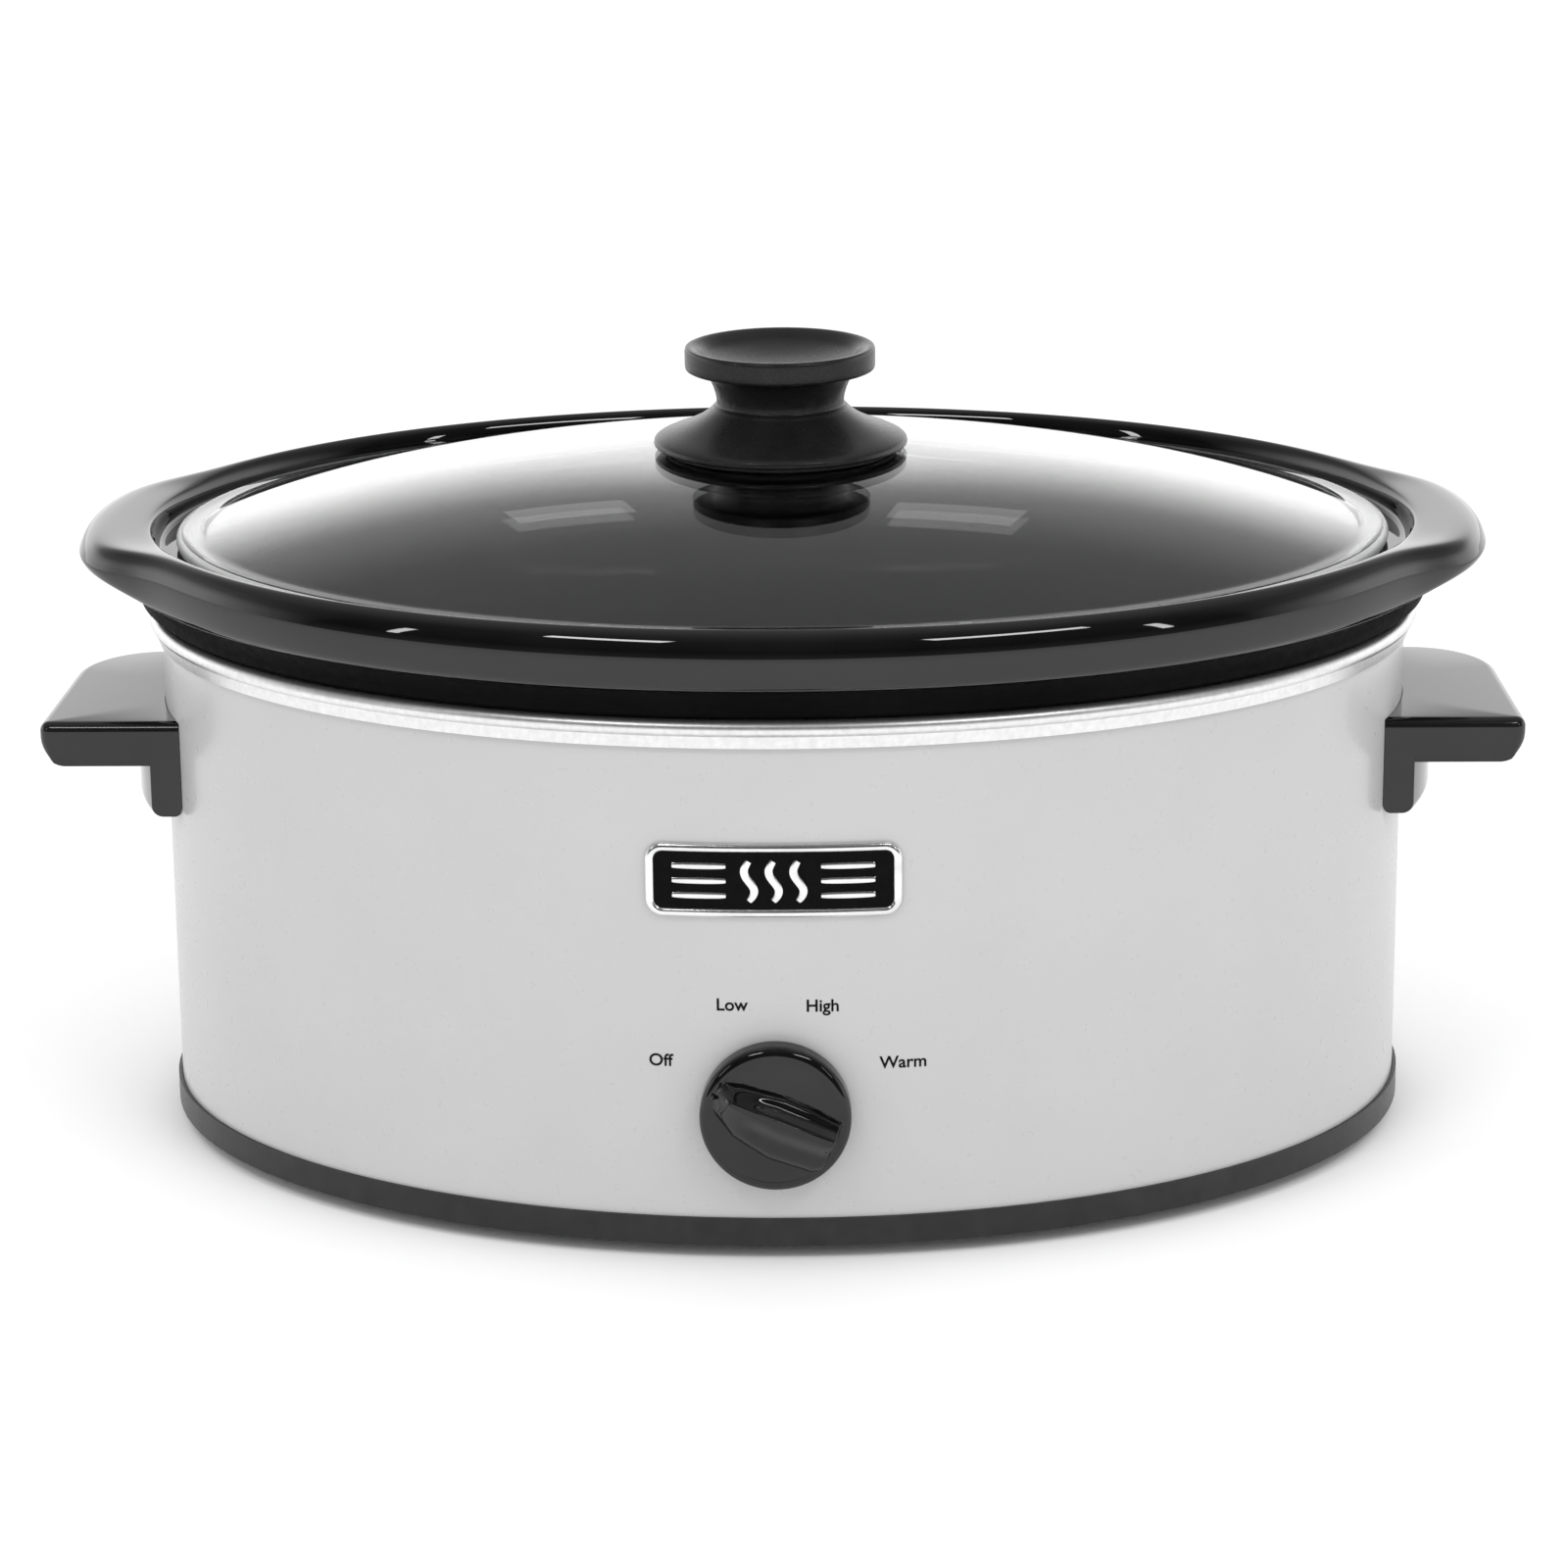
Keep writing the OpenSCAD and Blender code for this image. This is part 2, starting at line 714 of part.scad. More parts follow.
module fuse_clip() {
    color([0.72, 0.72, 0.74]) at_fuse() translate([0, 0, -clip_w / 2]) difference() {
        union() {
            cylinder(r = fuse_r + 0.7, h = clip_w);
            translate([-fuse_r - 0.3, -8, 0]) cube([0.8, 16, clip_w]);
        }
        translate([0, 0, -1]) cylinder(r = fuse_r + 0.1, h = clip_w + 2);
        translate([-fuse_r - 5.3, -10, -1]) cube([5, 20, clip_w + 2]);
    }
}

earth_x = 30;
earth_y = 78;

module earth_screw() {
    color([0.8, 0.68, 0.36]) translate([earth_x, earth_y, plate_z + plate_t + 0.1]) union() {
        cylinder(r = 4.5, h = 0.8);
        translate([0, 0, 0.7]) cylinder(r = 3.4, h = 2.2);
    }
}

// A lead is a round tube swept along a smooth curve through hand-placed points
lead_sides = 8;
lead_steps = 4;

function curve_at(p, i, t) =
    let (a = p[max(i - 1, 0)], b = p[i], c = p[i + 1], d = p[min(i + 2, len(p) - 1)])
    0.5 * (2 * b + (c - a) * t + (2 * a - 5 * b + 4 * c - d) * t * t + (3 * b - a - 3 * c + d) * t * t * t);

function curve(p) = concat(
    [for (i = [0:len(p) - 2], k = [0:lead_steps - 1]) curve_at(p, i, k / lead_steps)],
    [p[len(p) - 1]]
);

function unit(v) = v / norm(v);

function heading(q, i) = unit(q[min(i + 1, len(q) - 1)] - q[max(i - 1, 0)]);

module lead(points, r) {
    q = curve(points);
    n = len(q);
    up = [0.13, 0.21, 0.97];
    rings = [for (i = [0:n - 1]) let (h = heading(q, i), u = unit(cross(h, up)), w = cross(h, u))
        for (k = [0:lead_sides - 1]) let (t = k * 360 / lead_sides) q[i] + r * (cos(t) * u + sin(t) * w)];
    sides = [for (i = [0:n - 2], k = [0:lead_sides - 1]) let (m = (k + 1) % lead_sides)
        [i * lead_sides + k, i * lead_sides + m, (i + 1) * lead_sides + m, (i + 1) * lead_sides + k]];
    start = [for (k = [lead_sides - 1:-1:0]) k];
    end = [for (k = [0:lead_sides - 1]) (n - 1) * lead_sides + k];
    polyhedron(points = rings, faces = concat(sides, [start, end]), convexity = 8);
}

lead_r = 1.3;
live_route = [
    [1.8, 121, 28.4], [2.2, 118, 27.4], [4, 112, 20], [12, 98, 12], [18, 60, 11], [18, 0, 11],
    [18, -60, 11], [20, -96, 12], [20, -112, 20], [20, -118, 36], [19, -121, 54], [14, -123, 66],
    [9.4, -123.6, 66], [9, -123.6, 62.4]
];
neutral_route = [
    [-1.8, 121, 28.4], [-2.8, 118, 27.6], [-10, 110, 22], [-32, 102, 13], [-46, 95, 10.4],
    [-48, 87, 9.2], [-48, 79, 9.2]
];
earth_route = [
    [0, 121, 25.2], [0, 118, 24], [-1, 113, 17], [3, 106, 9.8], [12, 97, 8], [22, 90, 7.8],
    [29, 87, 7.6], [30, 82, 7.3]
];
fuse_route = [
    [-48, 77, 9.2], [-48, 68, 9.4], [-46, 44, 11], [-38, 0, 12], [-31, -20, 16], [-30, -27.8, 17.6]
];
common_route = [
    [-30, -52.2, 17.6], [-29.5, -58, 17], [-22, -66, 13], [-13, -50, 11], [-13, 0, 11], [-20, 60, 11.5],
    [-20, 96, 12], [-20, 107.5, 13.5], [-19, 116, 20], [-15, 119.5, 36], [-9, 121, 56],
    [-5.2, 120.4, 69], [-4.8, 118.2, 79]
];
// The switch's two heater leads run round the ends of the base, tied to the casing's size
function end_run(side) = [
    for (p = [
        [0.4, -0.794, 12], [0.629, -0.641, 12], [0.834, -0.397, 12], [0.903, 0, 12],
        [0.834, 0.397, 12], [0.629, 0.641, 12], [0.377, 0.809, 18]
    ]) [side * p[0] * half_len, p[1] * half_wid, p[2]]
];
low_route = concat(
    [[-9, -123.6, 62.4], [-11, -123, 68], [-20, -121, 66], [-26, -118, 44], [-36, -113, 22]],
    end_run(-1),
    [[-28, 117, 44], [-12, 120.4, 66], [-7.8, 118.2, 79]]
);
high_route = concat(
    [[0, -123.6, 62.4], [4, -123.6, 70], [20, -121, 70], [32, -117, 54], [36, -113, 30]],
    end_run(1),
    [[28, 117, 44], [10, 120.4, 66], [7.2, 118.2, 79]]
);

module lead_live() {
    color([0.5, 0.3, 0.2]) lead(live_route, lead_r);
}

module lead_neutral() {
    color([0.3, 0.4, 0.65]) lead(neutral_route, lead_r);
}

module lead_earth() {
    color([0.35, 0.6, 0.3]) lead(earth_route, lead_r);
}

module lead_fuse() {
    color([0.32, 0.36, 0.55]) lead(fuse_route, lead_r);
}

module lead_common() {
    color([0.88, 0.86, 0.78]) lead(common_route, lead_r);
}

module lead_low() {
    color([0.85, 0.85, 0.82]) lead(low_route, lead_r);
}

module lead_high() {
    color([0.8, 0.3, 0.25]) lead(high_route, lead_r);
}

// ---- Crock --------------------------------------------------------------

crock_sides = 80;
lug_spread = 19.5;

// 1 at the tip of a lug and 0 well away from it, for a turn a round the oval
function lug(a) = let (d = abs(((a + 90) % 180) - 90)) 1 / (1 + pow(d / lug_spread, 6));

// Closed section of the crock, from the middle of its foot, round the outside and back inside
function crock_section(g) =
    let (reach = lug_reach * g, low = lip_z + 3.5 * g, top = crest_z - 1.2 * g)
    [
        [crock_low_x - 18, crock_foot], [crock_low_x - 8, crock_foot + 2.5],
        [crock_low_x - 2, crock_foot + 8],
        [crock_low_x + 1, crock_foot + 16], [crock_top_x - 1, rim_top - 8], [crock_top_x + 1, rim_top - 1],
        [crock_top_x + 3, rim_top + touch], [bead_x - 0.5, rim_top + touch],
        [half_len + 2.5 + reach * 0.2, rim_top + 2], [lip_x - 4.5 + reach * 0.55, low - 2.2 + g],
        [lip_x - 1.8 + reach, low], [lip_x - 0.4 + reach, low + 1.6], [lip_x + reach, low + 4],
        [lip_x + reach, top - 5.5], [lip_x - 0.7 + reach, top - 2.8], [lip_x - 2.4 + reach, top - 0.8],
        [crest_x + reach * 0.9, top], [well_x + 1.6, top - 0.2], [well_x + 0.4, top - 1.2],
        [well_x - 0.2, top - 3.4], [well_x - 1, ledge_z + 1], [well_x - 2.4, ledge_z],
        [ledge_x, ledge_z], [ledge_x - 1.6, ledge_z - 1.6], [crock_top_x - crock_t + 1, rim_top - 3],
        [crock_low_x - crock_t + 1, crock_foot + 24], [crock_low_x - crock_t - 3, crock_foot + 13],
        [crock_low_x - crock_t - 12, crock_foot + crock_t + 1.5],
        [crock_low_x - crock_t - 24, crock_foot + crock_t]
    ];

module crock() {
    color([0.08, 0.08, 0.08])
        oval_bowl([for (i = [0:crock_sides - 1]) crock_section(lug(i * 360 / crock_sides))]);
}

// ---- Lid ----------------------------------------------------------------

lid_top = lid_z + glass_t + dome_h;
dome_steps = 10;
flat_x = 20;
flange_x = lid_x - 7;

// Height of the dome's top face at half length x
function dome_z(x) = lid_top - dome_h * pow(max(x - flat_x, 0) / (flange_x - flat_x), 2);

module lid_glass() {
    span = flange_x - flat_x;
    over = [for (i = [dome_steps:-1:0]) let (x = flat_x + span * i / dome_steps) [x, dome_z(x)]];
    under = [for (i = [0:dome_steps]) let (x = flat_x + span * i / dome_steps) [x, dome_z(x) - glass_t]];
    color([0.75, 0.8, 0.8, 0.4]) difference() {
        oval_ring(lid_x) union() {
            polygon(concat(
                [[lid_x - glass_t / 2, lid_z], [lid_x - glass_t / 2, lid_z + glass_t]],
                over, [[0, lid_top], [0, lid_top - glass_t]], under
            ));
            translate([lid_x - glass_t / 2, lid_z + glass_t / 2]) circle(glass_t / 2, $fn = 32);
        }
        translate([0, 0, lid_top - glass_t - 5]) cylinder(r = lid_screw_r + 1.5, h = glass_t + 10);
    }
}

gasket_t = 1;
knob_z = lid_top + gasket_t + 0.1;
neck_r = 17.8;
knob_top = knob_z + knob_h;
insert_h = 14;

module lid_gasket() {
    color([0.1, 0.1, 0.1]) translate([0, 0, lid_top + 0.05]) difference() {
        cylinder(r = knob_foot_r - 3, h = gasket_t);
        translate([0, 0, -1]) cylinder(r = lid_screw_r + 1, h = gasket_t + 2);
    }
}

module lid_knob() {
    color([0.13, 0.13, 0.13]) difference() {
        rotate_extrude() difference() {
            union() {
                polygon([
                    [0, knob_z], [knob_foot_r - 1, knob_z], [knob_foot_r, knob_z + 0.8],
                    [knob_foot_r, knob_z + 1.8], [knob_foot_r - 2.5, knob_z + 3],
                    [27, knob_z + 5.4], [21.5, knob_z + 8.4], [neck_r + 0.4, knob_z + 11.2],
                    [neck_r, knob_z + 12.2], [neck_r + 0.6, knob_z + 16], [neck_r + 2, knob_top - 9],
                    [knob_r - 2.4, knob_top - 6.6], [knob_r, knob_top - 5.8], [knob_r, knob_top - 1.2],
                    [knob_r - 1.2, knob_top], [0, knob_top]
                ]);
            }
            translate([0, knob_top + 46]) circle(51.5);
        }
        translate([0, 0, knob_z - 1]) cylinder(r = lid_screw_r + run_fit, h = insert_h + 1);
    }
}

washer_t = 1.2;

module lid_washer() {
    color([0.75, 0.76, 0.77]) translate([0, 0, lid_top - glass_t - washer_t - 0.05]) difference() {
        cylinder(r = 9, h = washer_t);
        translate([0, 0, -1]) cylinder(r = lid_screw_r + slip, h = washer_t + 2);
    }
}

module lid_screw() {
    under = lid_top - glass_t - washer_t - 0.1;
    color([0.78, 0.78, 0.79]) difference() {
        union() {
            translate([0, 0, under - 2.6]) cylinder(r = 5, h = 2.6);
            translate([0, 0, under - 0.5]) cylinder(r = lid_screw_r, h = knob_z + insert_h - 1 - under);
        }
        translate([0, 0, under - 2.6]) cube([6, 1.1, 2.2], center = true);
        translate([0, 0, under - 2.6]) cube([1.1, 6, 2.2], center = true);
    }
}

base_ring();
bottom_plate();
feet();
foot_screws();
centre_stud();
centre_nut();
outer_casing();
heating_liner();
heater_band();
insulation_wrap();
band_strap();
strap_screw();
handle_left();
handle_right();
handle_screws();
badge_frame();
badge_inlay();
badge_clips();
rotary_switch();
switch_terminals();
switch_nut();
switch_shaft();
control_dial();
dial_clip();
cord_gland();
gland_nut();
terminal_block();
terminal_screws();
thermal_fuse();
fuse_clip();
earth_screw();
lead_live();
lead_neutral();
lead_earth();
lead_fuse();
lead_common();
lead_low();
lead_high();
crock();
lid_glass();
lid_knob();
lid_gasket();
lid_washer();
lid_screw();
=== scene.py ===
import math

import bmesh
import bpy
import numpy as np
from mathutils import Matrix, Vector


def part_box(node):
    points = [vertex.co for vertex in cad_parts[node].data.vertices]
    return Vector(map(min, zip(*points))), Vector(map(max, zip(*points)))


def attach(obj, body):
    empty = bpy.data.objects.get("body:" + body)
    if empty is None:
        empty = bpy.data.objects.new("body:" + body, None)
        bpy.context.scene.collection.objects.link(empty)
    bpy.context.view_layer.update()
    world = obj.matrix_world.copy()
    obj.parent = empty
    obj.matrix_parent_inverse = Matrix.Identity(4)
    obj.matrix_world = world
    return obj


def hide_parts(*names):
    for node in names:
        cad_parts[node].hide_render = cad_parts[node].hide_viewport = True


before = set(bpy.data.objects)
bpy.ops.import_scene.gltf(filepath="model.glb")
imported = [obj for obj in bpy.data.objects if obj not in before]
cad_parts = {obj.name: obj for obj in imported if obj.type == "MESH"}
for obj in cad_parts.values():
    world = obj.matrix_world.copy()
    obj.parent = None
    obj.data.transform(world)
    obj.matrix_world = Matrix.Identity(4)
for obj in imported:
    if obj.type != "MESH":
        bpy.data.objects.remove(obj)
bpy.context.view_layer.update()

mm = 0.001

# ---- The studio ------------------------------------------------------------------------
# The camera stands in front of the cooker, a little above it and a touch to its right. The pale
# table runs back out of sight. Gloss mirrors a bright low background and a dim room in front,
# and everything else is lit by plain white from all round.

camera_distance = 1.328
camera_height = 0.4865
camera_turn = math.radians(1.3)
camera_pitch = math.radians(16.52)
camera_roll = math.radians(0.55)

forward = Vector((
    -math.sin(camera_turn) * math.cos(camera_pitch),
    math.cos(camera_turn) * math.cos(camera_pitch),
    -math.sin(camera_pitch),
))
level = Vector((math.cos(camera_turn), math.sin(camera_turn), 0))
upright = level.cross(forward)
across = level * math.cos(camera_roll) - upright * math.sin(camera_roll)
upward = upright * math.cos(camera_roll) + level * math.sin(camera_roll)
stand = Vector((math.sin(camera_turn), -math.cos(camera_turn), 0)) * camera_distance
stand.z = camera_height

camera = bpy.data.objects.new("camera", bpy.data.cameras.new("camera"))
camera.data.lens = 111.2
camera.data.sensor_width = 36
camera.matrix_world = Matrix.Translation(stand) @ Matrix((across, upward, -forward)).transposed().to_4x4()
bpy.context.scene.collection.objects.link(camera)
bpy.context.scene.camera = camera
bpy.context.scene.view_settings.view_transform = "Standard"


def node(tree, kind, values=None, **settings):
    """Adds one node. settings are its own fields, and values maps its input sockets to a
    number, a colour or another node's output."""
    made = tree.nodes.new(kind)
    for field, value in settings.items():
        setattr(made, field, value)
    for socket, value in (values or {}).items():
        if isinstance(value, bpy.types.NodeSocket):
            tree.links.new(value, made.inputs[socket])
        else:
            made.inputs[socket].default_value = value
    return made


def grey_ramp(tree, value, stops):
    """A grey ramp through (place, brightness) stops."""
    made = node(tree, "ShaderNodeValToRGB", {"Fac": value})
    marks = made.color_ramp.elements
    while len(marks) < len(stops):
        marks.new(0.5)
    for mark, (place, grey) in zip(marks, stops):
        mark.position = place
        mark.color = (grey, grey, grey, 1)
    return made.outputs["Color"]


room = bpy.data.worlds.new("room")
room.use_nodes = True
tree = room.node_tree
tree.nodes.clear()
direction = node(tree, "ShaderNodeTexCoord").outputs["Generated"]
parts = node(tree, "ShaderNodeSeparateXYZ", {"Vector": direction})
height, depth = parts.outputs["Z"], parts.outputs["Y"]
behind = grey_ramp(tree, height, [(0, 1), (0.2, 1), (0.28, 0.82), (0.42, 0.34), (0.6, 0.2), (1, 0.24)])
before = grey_ramp(tree, height, [(0, 0.1), (0.3, 0.02), (0.75, 0.06), (1, 0.16)])
rear = node(tree, "ShaderNodeMapRange", {"Value": depth, "From Min": -0.3, "From Max": 0.2})
around = node(tree, "ShaderNodeMix", {0: rear.outputs[0], 6: before, 7: behind}, data_type="RGBA")
gloss_light = node(tree, "ShaderNodeBackground", {"Color": around.outputs[2], "Strength": 1.7})
plain_light = node(tree, "ShaderNodeBackground", {"Color": (1, 1, 1, 1), "Strength": 1.15})
mirrored = node(tree, "ShaderNodeLightPath").outputs["Is Glossy Ray"]
shown = node(tree, "ShaderNodeMixShader", {
    0: mirrored, 1: plain_light.outputs[0], 2: gloss_light.outputs[0],
})
node(tree, "ShaderNodeOutputWorld", {"Surface": shown.outputs[0]})
bpy.context.scene.world = room


def soft_light(name, place, aim, size, power):
    """A rectangular soft light at place, turned to aim. Gloss mirrors it too."""
    lamp = bpy.data.lights.new(name, "AREA")
    lamp.shape = "RECTANGLE"
    lamp.size, lamp.size_y = size
    lamp.energy = power
    held = bpy.data.objects.new(name, lamp)
    turn = (Vector(aim) - Vector(place)).to_track_quat("-Z", "Y").to_matrix().to_4x4()
    held.matrix_world = Matrix.Translation(place) @ turn
    bpy.context.scene.collection.objects.link(held)


soft_light("strip_left", (-0.55, -1.0, 1.35), (0, 0, 0.15), (0.42, 0.16), 3)
soft_light("strip_right", (0.75, -1.0, 1.35), (0, 0, 0.15), (0.62, 0.16), 4)
soft_light("side_left", (-1.5, -1.0, 0.9), (-0.18, 0, 0.16), (0.07, 0.5), 1.2)
soft_light("side_right", (1.5, -1.0, 0.9), (0.18, 0, 0.16), (0.07, 0.5), 1.2)
soft_light("window_left", (-0.25, 1.235, 0.93), (-0.056, -0.055, 0.186), (0.13, 0.1), 0.022)
soft_light("window_right", (0.156, 1.211, 0.98), (0.049, -0.059, 0.186), (0.14, 0.12), 0.028)


def grid_faces(rows, columns, round_rows, round_columns):
    """The quads of a grid of points stored row after row: (i, j), (i, j+1), (i+1, j+1) and
    (i+1, j). A round direction joins its last points to its first."""
    i = np.arange(rows if round_rows else rows - 1)[:, None]
    j = np.arange(columns if round_columns else columns - 1)[None, :]
    low, high = i * columns, (i + 1) % rows * columns
    ahead = (j + 1) % columns
    return np.stack([low + j, low + ahead, high + ahead, high + j], -1).reshape(-1, 4).tolist()


def put_in_mesh(name, points, faces, crease=40):
    """A new object from points and faces: doubles merged, faces turned outward, and smooth but
    for the edges where two faces turn by more than crease degrees."""
    mesh = bpy.data.meshes.new(name)
    mesh.from_pydata(np.asarray(points).reshape(-1, 3).tolist(), [], faces)
    work = bmesh.new()
    work.from_mesh(mesh)
    bmesh.ops.remove_doubles(work, verts=work.verts, dist=1e-6)
    bmesh.ops.recalc_face_normals(work, faces=work.faces)
    work.to_mesh(mesh)
    work.free()
    mesh.shade_smooth()
    mesh.set_sharp_from_angle(angle=math.radians(crease))
    piece = bpy.data.objects.new(name, mesh)
    bpy.context.scene.collection.objects.link(piece)
    return piece


table_reach = 6.0
spread = np.linspace(-table_reach, table_reach, 5)
table_points = np.stack(np.meshgrid(spread, spread, [0.0], indexing="ij"), -1)
table_top = put_in_mesh("table_top", table_points, grid_faces(5, 5, False, False))
pale = bpy.data.materials.new("pale_table")
pale.use_nodes = True
pale_shader = pale.node_tree.nodes["Principled BSDF"]
pale_shader.inputs["Base Color"].default_value = (0.93, 0.93, 0.93, 1)
pale_shader.inputs["Roughness"].default_value = 0.8
pale_shader.inputs["Specular IOR Level"].default_value = 0.1
table_top.data.materials.append(pale)

# ---- Casing ----------------------------------------------------------------------------
# The casing is one strip of 0.8 mm steel bent to an upright oval and painted a light warm grey
# gloss. It stands on the base ring's flange, and its top edge goes up inside the liner's skirt.

casing_low, casing_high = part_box("outer_casing")
half_length, half_width = casing_high.x, casing_high.y
inset = half_length - half_width


def oval(x, turn):
    """The oval at half length x: (x cos turn, (x - inset) sin turn). Every oval keeps the same
    distance from the casing all round."""
    return x * np.cos(turn), (x - inset) * np.sin(turn)


def turns(count):
    """A column of count angles, evenly spaced round one turn."""
    return np.linspace(0, 2 * math.pi, count, endpoint=False)[:, None]


def soften(line, times):
    """Cuts the corners of an open line of points at a quarter and three quarters of each side,
    times over, which runs towards a smooth curve."""
    line = np.asarray(line, float)
    for _ in range(times):
        near = 0.75 * line[:-1] + 0.25 * line[1:]
        far = 0.25 * line[:-1] + 0.75 * line[1:]
        cut = np.stack([near, far], 1).reshape(-1, line.shape[1])
        line = np.concatenate([line[:1], cut[1:-1], line[-1:]])
    return line


def oval_wall(name, section, count, closed=True):
    """Carries a section of (x, z) points, x outward, round the oval. A closed section makes a
    ring, and an open one is a bowl whose two ends are closed with flat faces."""
    section = np.asarray(section, float)
    x, y = oval(section[None, :, 0], turns(count))
    points = np.stack([x, y, np.broadcast_to(section[None, :, 1], x.shape)], -1)
    faces = grid_faces(count, len(section), True, closed)
    if not closed:
        ring = np.arange(count) * len(section)
        faces += [ring.tolist(), (ring[::-1] + len(section) - 1).tolist()]
    return put_in_mesh(name, points, faces)


def group_socket(group, name, kind, side, value=None):
    """Adds an input or output socket to a node group."""
    made = group.interface.new_socket(name=name, in_out=side, socket_type=kind)
    if value is not None:
        made.default_value = value


# Mottle: two sizes of soft noise, stretched along one way, for the uneven tone of a real surface.
mottle = bpy.data.node_groups.new("mottle", "ShaderNodeTree")
group_socket(mottle, "Scale", "NodeSocketFloat", "INPUT", 60.0)
group_socket(mottle, "Stretch", "NodeSocketVector", "INPUT", (1, 1, 1))
group_socket(mottle, "Tone", "NodeSocketFloat", "OUTPUT")
group_socket(mottle, "Grain", "NodeSocketFloat", "OUTPUT")
given = node(mottle, "NodeGroupInput")
own = node(mottle, "ShaderNodeTexCoord").outputs["Object"]
laid = node(mottle, "ShaderNodeVectorMath", {0: own, 1: given.outputs["Stretch"]}, operation="MULTIPLY")
wide = node(mottle, "ShaderNodeTexNoise", {
    "Vector": laid.outputs[0], "Scale": given.outputs["Scale"], "Detail": 3.0, "Roughness": 0.55,
})
tight = node(mottle, "ShaderNodeMath", {0: given.outputs["Scale"], 1: 14.0}, operation="MULTIPLY")
fine = node(mottle, "ShaderNodeTexNoise", {
    "Vector": laid.outputs[0], "Scale": tight.outputs[0], "Detail": 2.0, "Roughness": 0.6,
})
node(mottle, "NodeGroupOutput", {"Tone": wide.outputs[0], "Grain": fine.outputs[0]})

# Wear and edge sheen: 1 along outer edges, broken up by noise, and 0 on the flats. On the metal and rubber
# parts it stands for rubbed edges. On the black plastics its paler colour is a painted highlight along the
# rims.
wear_and_edge_sheen = bpy.data.node_groups.new("wear_and_edge_sheen", "ShaderNodeTree")
group_socket(wear_and_edge_sheen, "Amount", "NodeSocketFloat", "INPUT", 0.5)
group_socket(wear_and_edge_sheen, "Edge", "NodeSocketFloat", "OUTPUT")
given = node(wear_and_edge_sheen, "NodeGroupInput")
sharp = node(wear_and_edge_sheen, "ShaderNodeMapRange", {
    "Value": node(wear_and_edge_sheen, "ShaderNodeNewGeometry").outputs["Pointiness"], "From Min": 0.52, "From Max": 0.62,
})
broken = node(wear_and_edge_sheen, "ShaderNodeTexNoise", {
    "Vector": node(wear_and_edge_sheen, "ShaderNodeTexCoord").outputs["Object"], "Scale": 160.0, "Detail": 3.0,
})
edge = node(wear_and_edge_sheen, "ShaderNodeMath", {0: sharp.outputs[0], 1: broken.outputs[0]}, operation="MULTIPLY")
kept = node(wear_and_edge_sheen, "ShaderNodeMath", {0: edge.outputs[0], 1: given.outputs["Amount"]}, operation="MULTIPLY")
node(wear_and_edge_sheen, "NodeGroupOutput", {"Edge": kept.outputs[0]})


def finish(name, dark, pale, rough, scale=60, stretch=(1, 1, 1), bump=0.0, wear_and_sheen=0.0,
           wear_and_sheen_colour=(0.3, 0.3, 0.3), **fixed):
    """A material whose colour runs from dark to pale with the mottle's tone, whose roughness runs
    over the pair rough with its grain, and whose outer edges turn to a paler colour: rubbed wear
    on metal and rubber, and a painted highlight on the black plastics. bump is the grain's
    height in metres. fixed sets the shader's own plain sockets."""
    made = bpy.data.materials.new(name)
    made.use_nodes = True
    tree = made.node_tree
    shader = tree.nodes["Principled BSDF"]
    marks = node(tree, "ShaderNodeGroup", {}, node_tree=mottle)
    marks.inputs["Scale"].default_value = scale
    marks.inputs["Stretch"].default_value = stretch
    tone = node(tree, "ShaderNodeMapRange", {
        "Value": marks.outputs["Tone"], "From Min": 0.3, "From Max": 0.7,
    })
    colour = node(tree, "ShaderNodeMix", {
        0: tone.outputs[0], 6: (*dark, 1), 7: (*pale, 1),
    }, data_type="RGBA").outputs[2]
    # Paler outer edges: real rubbed wear on metal and rubber, and a painted rim highlight on the black
    # plastics.
    if wear_and_sheen:
        edge_mark = node(tree, "ShaderNodeGroup", {}, node_tree=wear_and_edge_sheen)
        edge_mark.inputs["Amount"].default_value = wear_and_sheen
        colour = node(tree, "ShaderNodeMix", {
            0: edge_mark.outputs["Edge"], 6: colour, 7: (*wear_and_sheen_colour, 1),
        }, data_type="RGBA").outputs[2]
    tree.links.new(colour, shader.inputs["Base Color"])
    gloss = node(tree, "ShaderNodeMapRange", {
        "Value": marks.outputs["Grain"], "From Min": 0.3, "From Max": 0.7,
        "To Min": rough[0], "To Max": rough[1],
    })
    tree.links.new(gloss.outputs[0], shader.inputs["Roughness"])
    if bump:
        raised = node(tree, "ShaderNodeBump", {
            "Height": marks.outputs["Grain"], "Strength": 1.0, "Distance": bump,
        })
        tree.links.new(raised.outputs[0], shader.inputs["Normal"])
    for socket, value in fixed.items():
        shader.inputs[socket.replace("_", " ")].default_value = value
    return made


def dress(piece, material, body=None, replaced=()):
    """Gives a piece its material, and for a new piece hangs it on the body it rides on and hides
    the CAD nodes it stands for."""
    piece.data.materials.clear()
    piece.data.materials.append(material)
    if body:
        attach(piece, body)
    if replaced:
        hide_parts(*replaced)


paint = finish(
    "casing_paint", (0.455, 0.455, 0.455), (0.47, 0.47, 0.47), (0.27, 0.33), scale=25,
    bump=0.0000004, Coat_Weight=0.25, Coat_Roughness=0.12,
)
paint_sheet = 0.8 * mm
roll = 0.35 * mm
edge_band = 12 * roll
wall_turns = 288
low, high = casing_low.z, casing_high.z
casing_section = [
    (half_length - paint_sheet, low), (half_length - roll, low), (half_length, low + roll),
    (half_length, low + edge_band), (half_length, high - edge_band), (half_length, high - roll),
    (half_length - roll, high), (half_length - paint_sheet, high),
]
casing = oval_wall("painted_casing", casing_section, wall_turns)
dress(casing, paint, "housing", ["outer_casing"])

# ---- Heating liner ---------------------------------------------------------------------
# The liner is a deep-drawn bowl of galvanised steel that hangs in the casing. Its rim is rolled
# to a bright bead, and a short skirt under the bead hangs down outside the painted edge.

